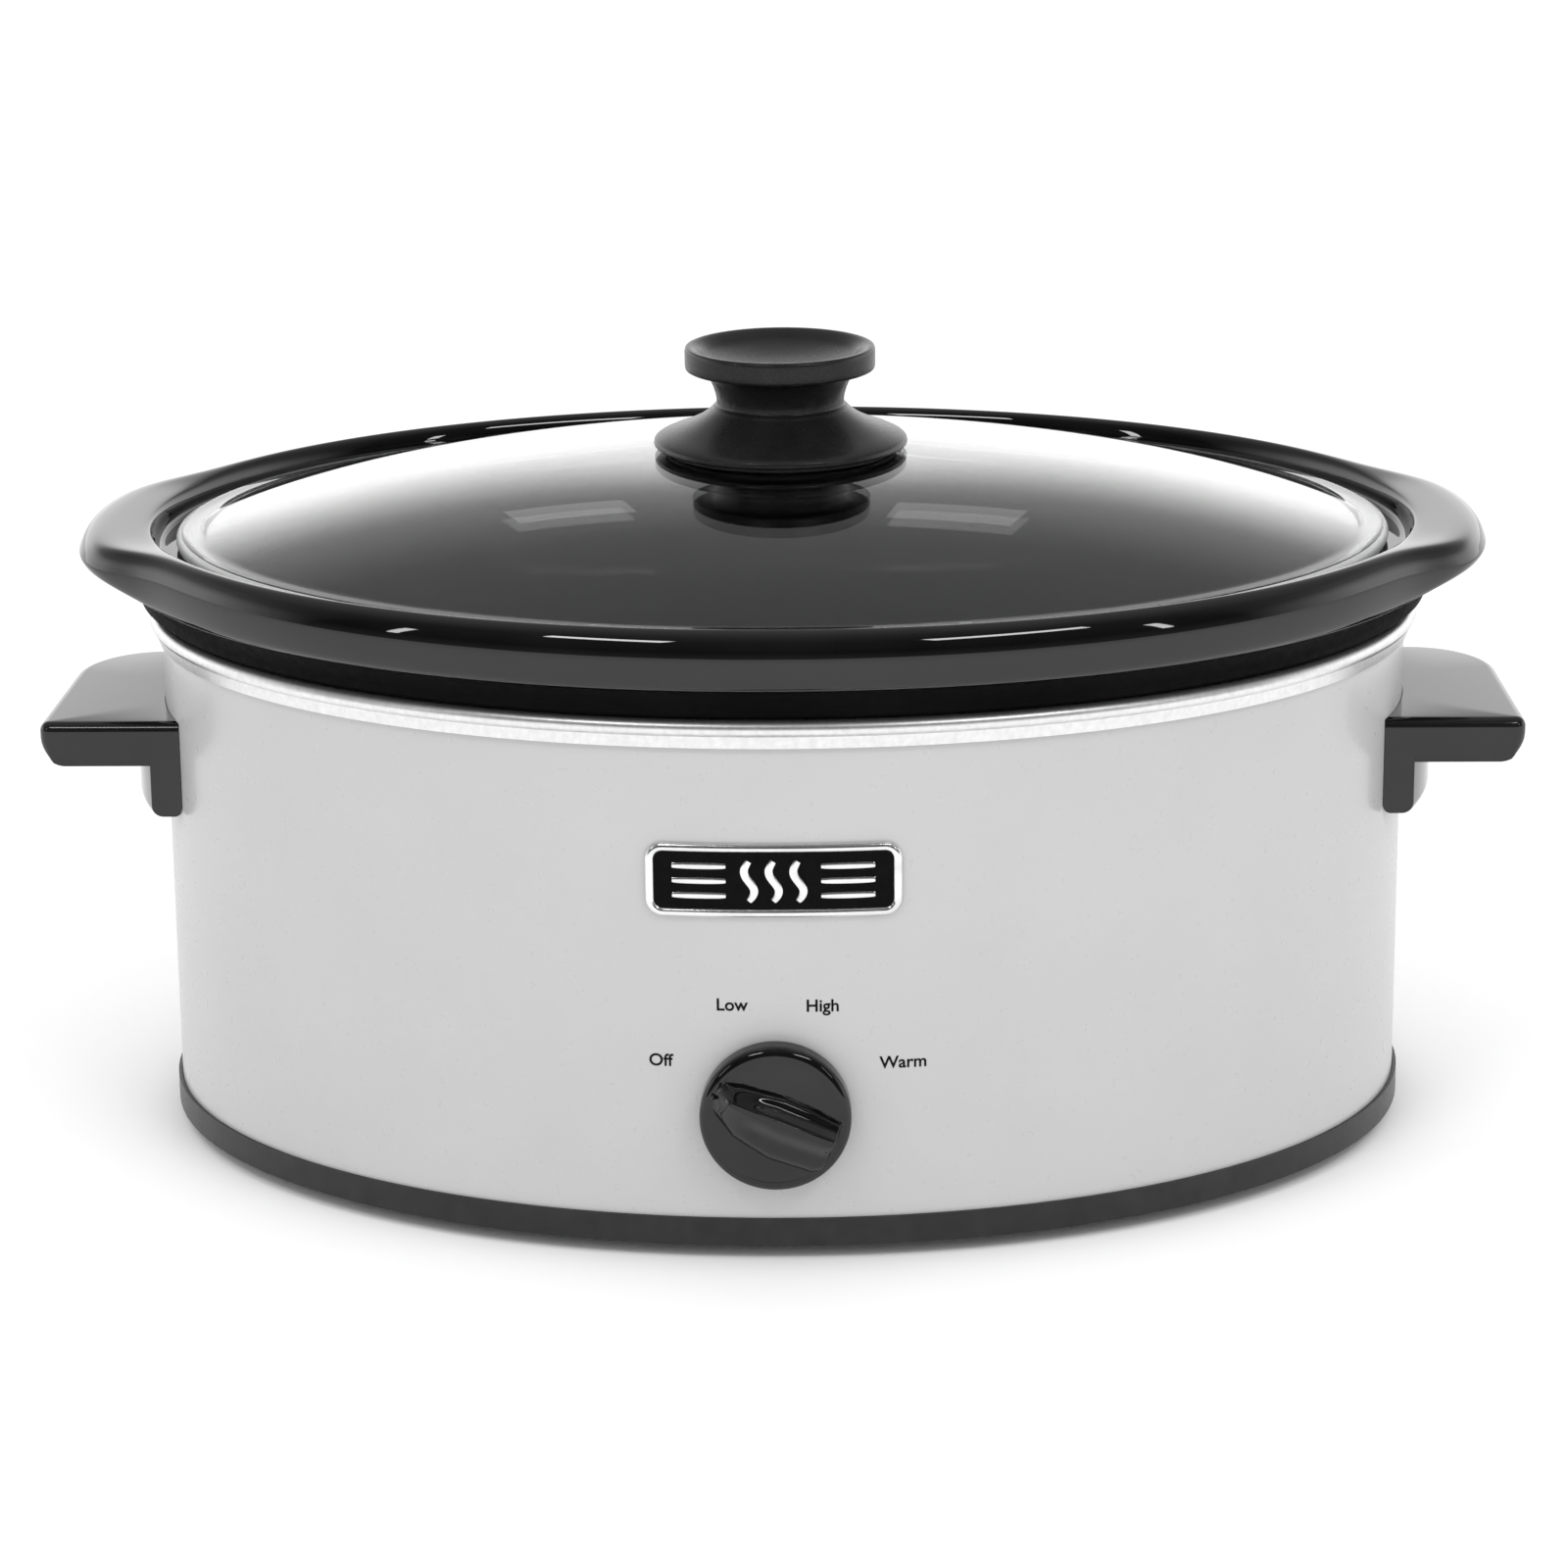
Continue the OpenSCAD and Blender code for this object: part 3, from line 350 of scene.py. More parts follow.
liner_low, liner_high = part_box("heating_liner")
steel = 1.0 * mm
bead = 2.2 * mm
rim = liner_high.z
skirt_x = half_length + 0.2 * mm
bead_x = liner_high.x - bead
bead_z = rim - bead
wall_top = half_length - 6 * mm
wall_low = wall_top - 20 * mm
floor = liner_low.z
shelf = rim - 1.4 * mm
bead_turn = np.radians(np.linspace(-75, 100, 14))
bead_line = np.stack([bead_x + bead * np.cos(bead_turn), bead_z + bead * np.sin(bead_turn)], -1)
skirt_bottom = casing_high.z - 6 * mm
outside = soften([
    (wall_low - 14 * mm, floor), (wall_low - 3.5 * mm, floor + 2 * mm),
    (wall_low + 1.5 * mm, floor + 10 * mm), (wall_low + 3.5 * mm, floor + 26 * mm),
    (wall_top - 1 * mm, shelf - 10 * mm), (wall_top, shelf),
], 3)
under = np.array([(skirt_x, shelf), (skirt_x, skirt_bottom), (skirt_x + steel, skirt_bottom)])
inside = soften([
    (bead_x - 1.4 * mm, rim - 0.4 * mm), (wall_top - 1 * mm, rim - 0.4 * mm),
    (wall_top - 2 * mm, shelf - 10 * mm), (wall_low + 2.4 * mm, floor + 26 * mm),
    (wall_low + 0.3 * mm, floor + 11 * mm),
    (wall_low - 4.5 * mm, floor + 3.2 * mm), (wall_low - 14.3 * mm, floor + steel),
], 3)
liner_section = np.concatenate([outside, under, bead_line, inside])
liner = oval_wall("liner_bowl", liner_section, wall_turns, closed=False)
galvanised = finish(
    "galvanised_steel", (0.72, 0.72, 0.72), (0.83, 0.83, 0.83), (0.3, 0.45), scale=600, stretch=(1, 1, 0.8),
    bump=0.000003, Metallic=1.0,
)
dress(liner, galvanised, "housing", ["heating_liner"])

# ---- Crock -----------------------------------------------------------------------------
# The crock is slip-cast stoneware under a thick black glaze. Its lip is rounded, it has a well
# for the lid, and a broad lifting lug swells out of the lip at each end.

crock_low, crock_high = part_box("crock")
lip = crock_high.y + inset
lug_reach = crock_high.x - lip
crest = crock_high.z
foot = crock_low.z
neck = rim + 0.3 * mm
under_lip = crest - 15.5 * mm
well = lip - 8.5 * mm
ledge = crest - 8 * mm
crock_top = wall_top - 3.5 * mm
crock_foot_x = crock_top - 20 * mm
wall = 7 * mm
# Each point is x, z, and how far a lug pulls it out (as a part of its reach) and up (in metres).
crock_line = np.array([
    (crock_foot_x - 18 * mm, foot, 0, 0), (crock_foot_x - 7 * mm, foot + 1 * mm, 0, 0),
    (crock_foot_x - 1 * mm, foot + 8 * mm, 0, 0), (crock_foot_x + 2 * mm, foot + 20 * mm, 0, 0),
    (crock_top - 2 * mm, rim - 12 * mm, 0, 0), (crock_top + 0.5 * mm, rim - 2 * mm, 0, 0),
    (crock_top + 3 * mm, neck, 0, 0), (crock_top + 4 * mm, neck, 0, 0),
    (bead_x - 1 * mm, neck, 0, 0), (bead_x + 0.2 * mm, neck + 0.3 * mm, 0, 0),
    (half_length + 2.5 * mm, rim + 2.5 * mm, 0.2, 0),
    (half_length + 3 * mm, rim + 5 * mm, 0.25, 0.5 * mm),
    (lip - 5 * mm, under_lip - 1.4 * mm, 0.55, 5.6 * mm),
    (lip - 3 * mm, under_lip - 0.6 * mm, 0.85, 6.2 * mm),
    (lip - 1.6 * mm, under_lip + 0.2 * mm, 1, 6.2 * mm),
    (lip - 0.6 * mm, under_lip + 1.4 * mm, 1, 5.8 * mm),
    (lip - 0.1 * mm, under_lip + 4 * mm, 1, 4.2 * mm), (lip, crest - 8 * mm, 1, 1 * mm),
    (lip - 0.3 * mm, crest - 5.2 * mm, 1, -1 * mm), (lip - 1.4 * mm, crest - 2.6 * mm, 1, -1.2 * mm),
    (lip - 3 * mm, crest - 0.7 * mm, 0.97, -1.2 * mm), (lip - 5 * mm, crest, 0.85, -1.2 * mm),
    (lip - 6.2 * mm, crest - 0.1 * mm, 0.3, -1.2 * mm), (lip - 7.2 * mm, crest - 0.5 * mm, 0, -1 * mm),
    (lip - 8 * mm, crest - 1.6 * mm, 0, -0.4 * mm), (well - 0.2 * mm, crest - 3.4 * mm, 0, 0),
    (well - 0.8 * mm, ledge + 1.4 * mm, 0, 0), (well - 2 * mm, ledge, 0, 0), (well - 5 * mm, ledge, 0, 0),
    (well - 12 * mm, ledge, 0, 0), (well - 14 * mm, ledge - 0.8 * mm, 0, 0),
    (well - 16 * mm, ledge - 4 * mm, 0, 0), (crock_top - wall + 1 * mm, rim - 6 * mm, 0, 0),
    (crock_foot_x - wall + 2 * mm, foot + 30 * mm, 0, 0),
    (crock_foot_x - wall - 2 * mm, foot + 14 * mm, 0, 0),
    (crock_foot_x - wall - 11 * mm, foot + wall + 1 * mm, 0, 0),
    (crock_foot_x - wall - 24 * mm, foot + wall, 0, 0),
])
crock_line = soften(crock_line, 3)
around_count = 400
turn = turns(around_count)
# A lug is whole at an end of the oval and half gone lug_half degrees from it: 1 / (1 + (a / half)^8).
lug_half = 19
end_angle = np.degrees(np.abs((turn + math.pi / 2) % math.pi - math.pi / 2))
lug = 1 / (1 + (end_angle / lug_half) ** 8)
x, y = oval(crock_line[None, :, 0] + lug_reach * lug * crock_line[None, :, 2], turn)
z = crock_line[None, :, 1] + lug * crock_line[None, :, 3]
rows = len(crock_line)
foot_ring = np.arange(around_count) * rows
crock_faces = grid_faces(around_count, rows, True, False)
crock_faces += [foot_ring.tolist(), (foot_ring[::-1] + rows - 1).tolist()]
crock = put_in_mesh("stoneware_crock", np.stack([x, y, z], -1), crock_faces, crease=60)
glaze = finish(
    "black_glaze", (0.0015, 0.0015, 0.0015), (0.004, 0.004, 0.004), (0.015, 0.035), scale=30,
    bump=0.000002, IOR=1.55,
)
dress(crock, glaze, "crock", ["crock"])
# The neck under the lip gets a dull glaze that hardly reflects: painted shade, as dark as the deep shade
# under the lip.
painted_shade_neck = finish(
    "painted_shade_neck_glaze", (0.0015, 0.0015, 0.0015), (0.003, 0.003, 0.003), (0.5, 0.65), scale=30,
    Specular_IOR_Level=0.04,
)
crock.data.materials.append(painted_shade_neck)
middle = (crock_line[:-1] + crock_line[1:]) / 2
# The faces of the neck under the lip, which take the painted shade.
in_lip_shade = (middle[:, 0] > crock_top + 1 * mm) & (middle[:, 1] > rim - 4 * mm)
in_lip_shade &= middle[:, 1] < under_lip - 1 * mm
finish_number = np.zeros(len(crock.data.polygons), dtype=np.int32)
finish_number[:around_count * len(middle)] = np.tile(in_lip_shade, around_count)
crock.data.polygons.foreach_set("material_index", finish_number)

# ---- Lid glass -------------------------------------------------------------------------
# The lid is a shallow dome of clear tempered glass with a thick, fire-rounded edge that rests on
# the ledge inside the crock's lip. A hole in its middle takes the knob's screw.

glass_low, glass_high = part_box("lid_glass")
glass_x, glass_y = glass_high.x, glass_high.y
glass = 4.5 * mm
dome = glass_high.z - glass_low.z - glass
flat = 20 * mm
brim = glass_x - 7 * mm
screw_hole = 6 * mm
lid_turns = 288
dome_x = np.linspace(brim, screw_hole, 60)
dome_z = glass_high.z - dome * (np.maximum(dome_x - flat, 0) / (brim - flat)) ** 2
edge_turn = np.radians(np.linspace(-90, 90, 17))
edge_x = glass_x - glass / 2 + glass / 2 * np.cos(edge_turn)
edge_z = glass_low.z + glass / 2 + glass / 2 * np.sin(edge_turn)
upper = soften(np.concatenate([[(edge_x[-1], edge_z[-1])], np.stack([dome_x, dome_z], -1)]), 1)
lower = soften(np.concatenate([np.stack([dome_x, dome_z - glass], -1)[::-1], [(edge_x[0], edge_z[0])]]), 1)
lid_section = np.concatenate([np.stack([edge_x, edge_z], -1)[1:-1], upper, lower])
turn = turns(lid_turns)
x = lid_section[None, :, 0] * np.cos(turn)
y = lid_section[None, :, 0] * glass_y / glass_x * np.sin(turn)
z = np.broadcast_to(lid_section[None, :, 1], x.shape)
lid_faces = grid_faces(lid_turns, len(lid_section), True, True)
lid = put_in_mesh("lid_dome", np.stack([x, y, z], -1), lid_faces, crease=50)
clear = finish(
    "clear_glass", (0.93, 0.945, 0.935), (0.95, 0.96, 0.95), (0.0, 0.01), scale=20,
    Transmission_Weight=1.0, IOR=1.5,
)
dress(lid, clear, "lid", ["lid_glass"])
# The rounded edge is ground before tempering, which leaves it faintly frosted. Its pale frosted colour is
# also a painted highlight: the bright line along the glass edge.
frosted_edge_highlight = finish(
    "ground_glass_edge_highlight", (0.8, 0.82, 0.81), (0.88, 0.89, 0.88), (0.3, 0.42), scale=300,
    bump=0.000003, Transmission_Weight=0.45, IOR=1.5,
)
lid.data.materials.append(frosted_edge_highlight)
around = np.roll(lid_section, -1, axis=0)
on_edge = np.minimum(lid_section[:, 0], around[:, 0]) > glass_x - 1.7 * mm
lid.data.polygons.foreach_set("material_index", np.tile(on_edge, lid_turns).astype(np.int32))

# ---- Knob ------------------------------------------------------------------------------
# The knob is one moulding of black phenolic plastic with a fine satin skin: a dished top, a
# narrow waist and a flared foot that sits on a rubber gasket. A screw from below holds it.

knob_low, knob_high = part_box("lid_knob")
seat, crown = knob_low.z, knob_high.z
skirt = knob_high.x
disc = 26.6 * mm
waist = 17.8 * mm
knob_line = soften([
    (3 * mm, seat + 0.2 * mm), (3.2 * mm, seat), (skirt - 2 * mm, seat), (skirt - 1 * mm, seat),
    (skirt - 0.1 * mm, seat + 0.3 * mm), (skirt, seat + 1.2 * mm), (skirt - 0.3 * mm, seat + 2.2 * mm),
    (skirt - 2.5 * mm, seat + 3.2 * mm), (28 * mm, seat + 5 * mm), (23 * mm, seat + 7.4 * mm),
    (19.6 * mm, seat + 10 * mm), (waist + 0.9 * mm, seat + 11.2 * mm), (waist + 0.1 * mm, seat + 11.6 * mm),
    (waist, seat + 12.2 * mm), (waist + 0.1 * mm, seat + 14 * mm), (waist + 1 * mm, seat + 17 * mm),
    (waist + 2.3 * mm, crown - 8.4 * mm), (disc - 3.4 * mm, crown - 6.9 * mm),
    (disc - 1 * mm, crown - 6.6 * mm), (disc - 0.2 * mm, crown - 6.3 * mm),
    (disc, crown - 5.6 * mm), (disc, crown - 3 * mm),
    (disc, crown - 0.9 * mm), (disc - 0.3 * mm, crown - 0.2 * mm), (disc - 1 * mm, crown),
    (disc - 2 * mm, crown - 0.1 * mm), (disc - 3.6 * mm, crown - 0.9 * mm), (20 * mm, crown - 3.2 * mm),
    (10 * mm, crown - 5.2 * mm), (0, crown - 5.6 * mm),
], 3)
knob_turns = 160
turn = turns(knob_turns)
x, y = knob_line[None, :, 0] * np.cos(turn), knob_line[None, :, 0] * np.sin(turn)
z = np.broadcast_to(knob_line[None, :, 1], x.shape)
knob_faces = grid_faces(knob_turns, len(knob_line), True, False)
knob_faces.append((np.arange(knob_turns) * len(knob_line)).tolist())
knob = put_in_mesh("knob", np.stack([x, y, z], -1), knob_faces, crease=50)
# The paler colour along the knob's edges is a painted highlight on its rims.
phenolic = finish(
    "knob_phenolic", (0.006, 0.006, 0.006), (0.01, 0.01, 0.01), (0.26, 0.36), scale=90,
    bump=0.00001, wear_and_sheen=0.3, wear_and_sheen_colour=(0.06, 0.06, 0.06), Specular_IOR_Level=0.4,
)
dress(knob, phenolic, "lid", ["lid_knob"])

# ---- Handles ---------------------------------------------------------------------------
# Each handle is one moulding of gloss black plastic: a flat shelf to lift by, and a leg that
# hangs down flush against the casing and takes two screws from inside.

shelf_r, corner_r, rear_r, under_r = 2.6 * mm, 3.5 * mm, 24 * mm, 8 * mm
shelf_thick, leg_thick = 12.5 * mm, 8 * mm
shelf_taper = 3 * mm
toe_r, heel_r, leg_overlap = 3 * mm, 2 * mm, 3 * mm
stand_off = 0.2 * mm


def arc(centre, radius, start, end, count):
    """Points on a circle round centre from start to end degrees."""
    angle = np.radians(np.linspace(start, end, count))
    return np.stack([centre[0] + radius * np.cos(angle), centre[1] + radius * np.sin(angle)], -1)


def end_faces(first, rows, columns):
    """The two flat ends of a tube of rows rings of columns points, whose points start at first."""
    last = first + (rows - 1) * columns
    return [list(range(first, first + columns)), list(range(last, last + columns))[::-1]]


def handle(name, node_name, side):
    """The shelf is the plan's outline moved inward by the edge's rounding at each height, and
    joined at its top and underside to the casing. The leg is the casing's oval moved outward."""
    low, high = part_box(node_name)
    half = high.y
    reach = max(abs(low.x), abs(high.x))
    top_z, leg_z = high.z, low.z
    base_z = top_z - shelf_thick
    wall_x = (half_length + stand_off) * math.sqrt(1 - (half / (half_width + stand_off)) ** 2)
    side_end = half - rear_r
    plan = np.concatenate([
        np.stack([np.linspace(wall_x, reach - corner_r, 12), np.full(12, -half)], -1)[:-1],
        arc((reach - corner_r, -half + corner_r), corner_r, -90, 0, 12),
        np.stack([np.full(20, reach), np.linspace(-half + corner_r, side_end, 20)], -1)[1:-1],
        arc((reach - rear_r, side_end), rear_r, 0, 90, 24),
        np.stack([np.linspace(reach - rear_r, wall_x, 6), np.full(6, half)], -1)[1:],
    ])
    pulled = np.clip((plan[:, 1] + half) / (2 * half), 0, 1) * shelf_taper
    plan[:, 0] -= pulled * np.clip((plan[:, 0] - wall_x) / (reach - wall_x), 0, 1)
    along = np.gradient(plan, axis=0)
    outward = np.stack([along[:, 1], -along[:, 0]], -1)
    outward /= np.linalg.norm(outward, axis=1, keepdims=True)
    above = np.radians(np.linspace(90, 0, 8))
    below = np.radians(np.linspace(0, 90, 10))
    inset_x = np.concatenate([shelf_r * (1 - np.cos(above)), under_r * (1 - np.cos(below))])
    inset_y = np.concatenate([shelf_r * (1 - np.cos(above)), 0.8 * mm * (1 - np.cos(below)) ** 3])
    z = np.concatenate([top_z - shelf_r * (1 - np.sin(above)), base_z + under_r * (1 - np.sin(below))])
    x_rows = plan[:, :1] - inset_x[None] * outward[:, :1]
    x_rows = np.minimum(x_rows, reach - pulled[:, None] - inset_x[None])
    y_rows = plan[:, 1:] - inset_y[None] * outward[:, 1:]
    spine_y = np.linspace(-half, half, len(plan))[:, None]
    spine_x = (half_length + stand_off) * np.sqrt(1 - (spine_y / (half_width + stand_off)) ** 2)
    x = np.concatenate([spine_x, x_rows, spine_x], 1)
    y = np.concatenate([spine_y, y_rows, spine_y], 1)
    z = np.broadcast_to(np.concatenate([[top_z], z, [base_z]])[None], x.shape)
    shelf = np.stack([x, y, z], -1)
    rows, columns = x.shape
    faces = grid_faces(rows, columns, False, True) + end_faces(0, rows, columns)
    section = np.concatenate([
        [(stand_off, base_z + leg_overlap), (leg_thick, base_z + leg_overlap)],
        arc((leg_thick - toe_r, leg_z + toe_r), toe_r, 0, -90, 8),
        arc((stand_off + heel_r, leg_z + heel_r), heel_r, -90, -180, 6),
    ])
    run = np.linspace(-half, half, 33)[:, None]
    turn = np.arcsin(run / (half_width + section[None, :, 0]))
    x = (half_length + section[None, :, 0]) * np.cos(turn)
    y = np.broadcast_to(run, x.shape)
    z = np.broadcast_to(section[None, :, 1], x.shape)
    leg = np.stack([x, y, z], -1)
    first = shelf.size // 3
    rows, columns = x.shape
    faces += (np.array(grid_faces(rows, columns, False, True)) + first).tolist()
    faces += end_faces(first, rows, columns)
    points = np.concatenate([shelf.reshape(-1, 3), leg.reshape(-1, 3)])
    points[:, 0] *= side
    return put_in_mesh(name, points, faces, crease=32)


# The paler colour along the handles' edges is a painted highlight on their rims.
gloss_black = finish(
    "gloss_black_plastic", (0.005, 0.005, 0.005), (0.008, 0.008, 0.008), (0.08, 0.13), scale=70,
    bump=0.000003, wear_and_sheen=0.15, wear_and_sheen_colour=(0.03, 0.03, 0.03),
)
for side, name in ((1, "right"), (-1, "left")):
    moulding = handle(name + "_handle", "handle_" + name, side)
    dress(moulding, gloss_black, "housing", ["handle_" + name])

# ---- Dial ------------------------------------------------------------------------------
# The dial is a gloss black moulding: a disc with a thin raised collar and a small pointer dot,
# and a tapering bar to grip with scooped flanks. It pushes on to the switch's shaft.

dial_low, dial_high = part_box("control_dial")
dial_z = (dial_low.z + dial_high.z) / 2
dial_r = (dial_high.z - dial_low.z) / 2
dial_back, dial_front = dial_high.y, dial_low.y
grip_tall = 6.5 * mm
dial_face = dial_front + grip_tall
bar_turn = math.radians(67.5)


def ease(value):
    """A soft step that goes from 0 to 1 as value does: 3 v^2 - 2 v^3."""
    value = np.clip(value, 0, 1)
    return value * value * (3 - 2 * value)


def dial_height(r, angle):
    """How far the dial's front stands out of its face's middle. u runs along the bar to its nose
    and v across it, in millimetres. The face falls away to the rim by 1.7 (r / R)^2 and has a
    collar 0.35 high. With s the distance from the bar's ridge over its half width there, the bar
    is 0.3 (1 - s^6)^0.5 + 0.7 (1 - (s - 0.1) / 0.9)^1.25 of its height, less a scoop of
    0.16 sin^2 along its flanks. It is eased off at the nose and cut off square at the tail."""
    u = r * np.cos(angle) / mm
    v = r * np.sin(angle) / mm
    face = 0.35 * ease((r / mm - (dial_r / mm - 3.4)) / 0.9) - 0.4 - 1.7 * (r / dial_r) ** 2
    below = np.interp(u, [-17, -14, -2, 9, 15.5, 17], [10, 11.8, 12.4, 10.2, 6.2, 4.6])
    above = np.interp(u, [-16.5, -8, 0, 11.5, 16, 17], [3.8, 5.2, 5.6, 4.2, 2.8, 2.2])
    across = v + 2.2
    s = np.clip(np.abs(across) / np.where(across > 0, below, above), 0, 1)
    ridge = (1 - np.clip((s - 0.1) / 0.9, 0, 1)) ** 1.25
    scoop = 0.16 * np.sin(math.pi * np.clip((s - 0.15) / 0.7, 0, 1)) ** 2 * ease((10 - u) / 8)
    swell = 0.3 * np.sqrt(np.clip(1 - s ** 6, 0, 1))
    nose = ease((17.4 - u) / 4.4) ** 0.7
    tail = ease((u + 16.8) / 0.9)
    crown = 1 - 0.08 * ((u + 2) / 16) ** 2
    bar = (swell + 0.7 * ridge - scoop) * crown * nose * tail
    pointer = 0.9 * np.sqrt(np.clip(1 - ((u - 18.1) ** 2 + v ** 2) / 0.9, 0, 1))
    return (np.maximum(face, pointer - 1.4) + (grip_tall / mm + 0.2) * bar) * mm


spokes, rings = 360, 150
rim_r, rim_drop, disc_thick = 2.4 * mm, 1.37 * mm, 2.2 * mm
back_r = dial_r - 1.6 * mm
angle = turns(spokes)
r = np.linspace(0, 1, rings)[None, :] ** 0.8 * (dial_r - rim_r)
out = np.minimum(dial_height(r, angle), grip_tall)
rim_turn = np.radians(np.linspace(8, 90, 9))[None, :]
back_out = dial_face - dial_back
side_r = np.concatenate([dial_r - rim_r + rim_r * np.sin(rim_turn), [[dial_r, back_r, back_r, 0]]], 1)
side_out = np.concatenate([
    rim_r * (np.cos(rim_turn) - 1) - rim_drop, [[back_out, back_out, -disc_thick, -disc_thick]],
], 1)
side_shape = (spokes, side_r.shape[1])
r = np.concatenate([np.broadcast_to(r, out.shape), np.broadcast_to(side_r, side_shape)], 1)
out = np.concatenate([out, np.broadcast_to(side_out, side_shape)], 1)
across_x, across_z = r * np.cos(angle), r * np.sin(angle)
# At rest the bar's nose points up and to the left, at the Off setting.
lean = math.pi / 2 + bar_turn
x = across_x * math.cos(lean) - across_z * math.sin(lean)
z = dial_z + across_x * math.sin(lean) + across_z * math.cos(lean)
y = np.broadcast_to(dial_face - out, x.shape)
dial_faces = grid_faces(spokes, r.shape[1], True, False)
dial = put_in_mesh("dial", np.stack([x, y, z], -1), dial_faces, crease=55)
dial_black = finish(
    "dial_black", (0.002, 0.002, 0.002), (0.004, 0.004, 0.004), (0.03, 0.06), scale=120, bump=0.0000015,
)
dress(dial, dial_black, "dial", ["control_dial"])

# ---- Badge -----------------------------------------------------------------------------
# The badge is a bright aluminium frame with a rolled edge round a black field. In the field are
# three rising curls of steam with three plain bars on each side, stamped and polished.

badge_low, badge_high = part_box("badge_frame")
badge_z = (badge_low.z + badge_high.z) / 2
badge_w, badge_h = badge_high.x - badge_low.x, badge_high.z - badge_low.z
corner_outer, corner_inner, corner_steps = 4.6, 2.4, 10


def on_casing(x, z, out):
    """Lays flat x, z points on the casing's front, standing out of it by out."""
    y = -(half_width + out) * np.sqrt(1 - (x / (half_length + out)) ** 2)
    return np.stack(np.broadcast_arrays(x, y, z), -1)


def rounded_box(width, height, radius, count):
    """The outline of a box with round corners, the same number of points for every size."""
    quarters = [
        arc((sx * (width / 2 - radius), sz * (height / 2 - radius)), radius, start, start + 90, count)
        for sx, sz, start in ((1, 1, 0), (-1, 1, 90), (-1, -1, 180), (1, -1, 270))
    ]
    sides = []
    for i in range(4):
        first, last = quarters[i], quarters[(i + 1) % 4]
        step = np.linspace(0, 1, 14)[1:-1, None]
        sides += [first, first[-1] * (1 - step) + last[0] * step]
    return np.concatenate(sides)


# Each ring of the frame is how far in from the edge it is and how far out of the casing.
frame_rings = [
    (0, 0.15), (0, 0.7), (0.12, 1.0), (0.45, 1.3), (0.9, 1.5),
    (1.4, 1.56), (1.8, 1.45), (2.1, 1.2), (2.3, 0.95), (2.35, 0.5),
]
outline = []
for d, out in frame_rings:
    corner = max(corner_outer - d, corner_inner) * mm
    ring = rounded_box(badge_w - 2 * d * mm, badge_h - 2 * d * mm, corner, corner_steps)
    outline.append(np.insert(ring, 2, out * mm, axis=1))
outline = np.stack(outline, 1)
points = on_casing(outline[..., 0], badge_z + outline[..., 1], outline[..., 2])
rolled_faces = grid_faces(*points.shape[:2], True, True)
badge_frame = put_in_mesh("badge_frame_rolled", points, rolled_faces, crease=60)
bright = finish(
    "bright_aluminium", (0.74, 0.74, 0.74), (0.88, 0.88, 0.88), (0.16, 0.26), scale=220,
    stretch=(0.3, 1, 1), bump=0.000004, Metallic=1.0,
)
dress(badge_frame, bright, "housing")

frame_width = 2.2 * mm
field_w, field_h = badge_w - 2 * frame_width, badge_h - 2 * frame_width
shrink = np.linspace(1, 0.02, 12)
field = rounded_box(field_w, field_h, corner_inner * mm, corner_steps)
x = field[:, :1] * shrink[None]
z = field[:, 1:] * shrink[None]
front_face = on_casing(x, badge_z + z, 0.9 * mm)
back_face = on_casing(x, badge_z + z, 0.3 * mm)[:, ::-1]
points = np.concatenate([front_face[:, ::-1], back_face[:, ::-1]], 1)
centre = np.arange(len(points)) * points.shape[1]
field_faces = grid_faces(*points.shape[:2], True, False)
field_faces += [centre.tolist(), (centre + points.shape[1] - 1).tolist()]
badge_field = put_in_mesh("badge_field", points, field_faces, crease=50)
black_field = finish(
    "badge_black", (0.001, 0.001, 0.001), (0.0025, 0.0025, 0.0025), (0.18, 0.26), scale=300,
    bump=0.000002, Specular_IOR_Level=0.06,
)
dress(badge_field, black_field, "housing", ["badge_inlay"])


def raised_line(path, wide, low, high):
    """A stamped line along a path of x, z points in the badge's plane. Its section is a flat
    topped ridge: full width at the bottom, and two thirds of it at the top."""
    along = np.gradient(path, axis=0)
    across = np.stack([along[:, 1], -along[:, 0]], -1)
    across /= np.linalg.norm(across, axis=1, keepdims=True)
    taper = np.sin(np.linspace(0.05, math.pi - 0.05, len(path)))[:, None, None] ** 0.12
    place = np.array([-0.5, -0.5, -0.33, 0, 0.33, 0.5, 0.5])[None, :, None] * wide * taper
    out = np.array([low, high - 0.15 * mm, high, high + 0.03 * mm, high, high - 0.15 * mm, low])
    flat = path[:, None, :] + across[:, None, :] * place
    return on_casing(flat[..., 0], badge_z + flat[..., 1], out[None, :])


step = np.linspace(0, 1, 40)[:, None]
line_foot = 0.6 * mm
curl_gap, curl_tall, bar_start, bar_long, bar_gap = 6.4, 10.8, 12.4, 14, 4
lines = []
for middle in (-curl_gap, 0, curl_gap):
    sway = 1.5 * np.sin(step * 2 * math.pi) * (1 - 0.25 * step)
    curl = np.concatenate([middle + sway, curl_tall * (step - 0.5)], 1)
    lines.append(raised_line(curl * mm, 2.1 * mm, line_foot, 1.35 * mm))
for side in (-1, 1):
    for height in (-bar_gap, bar_gap, 0):
        bar = np.concatenate([side * (bar_start + bar_long * step), height + 0 * step], 1)
        lines.append(raised_line(bar * mm, 1.7 * mm, line_foot, 1.25 * mm))
points, faces = [], []
for line in lines:
    start = len(points) * line.shape[0] * line.shape[1]
    rows, columns = line.shape[:2]
    faces += (np.array(grid_faces(rows, columns, False, True)) + start).tolist()
    faces += end_faces(start, rows, columns)
    points.append(line.reshape(-1, 3))
ornament = put_in_mesh("badge_ornament", np.concatenate(points), faces, crease=50)
dress(ornament, bright, "housing", ["badge_frame"])

# ---- Printed settings ------------------------------------------------------------------
# The four settings are printed on the casing round the dial in black ink: a thin skin of plain
# letters a few hundredths of a millimetre thick.

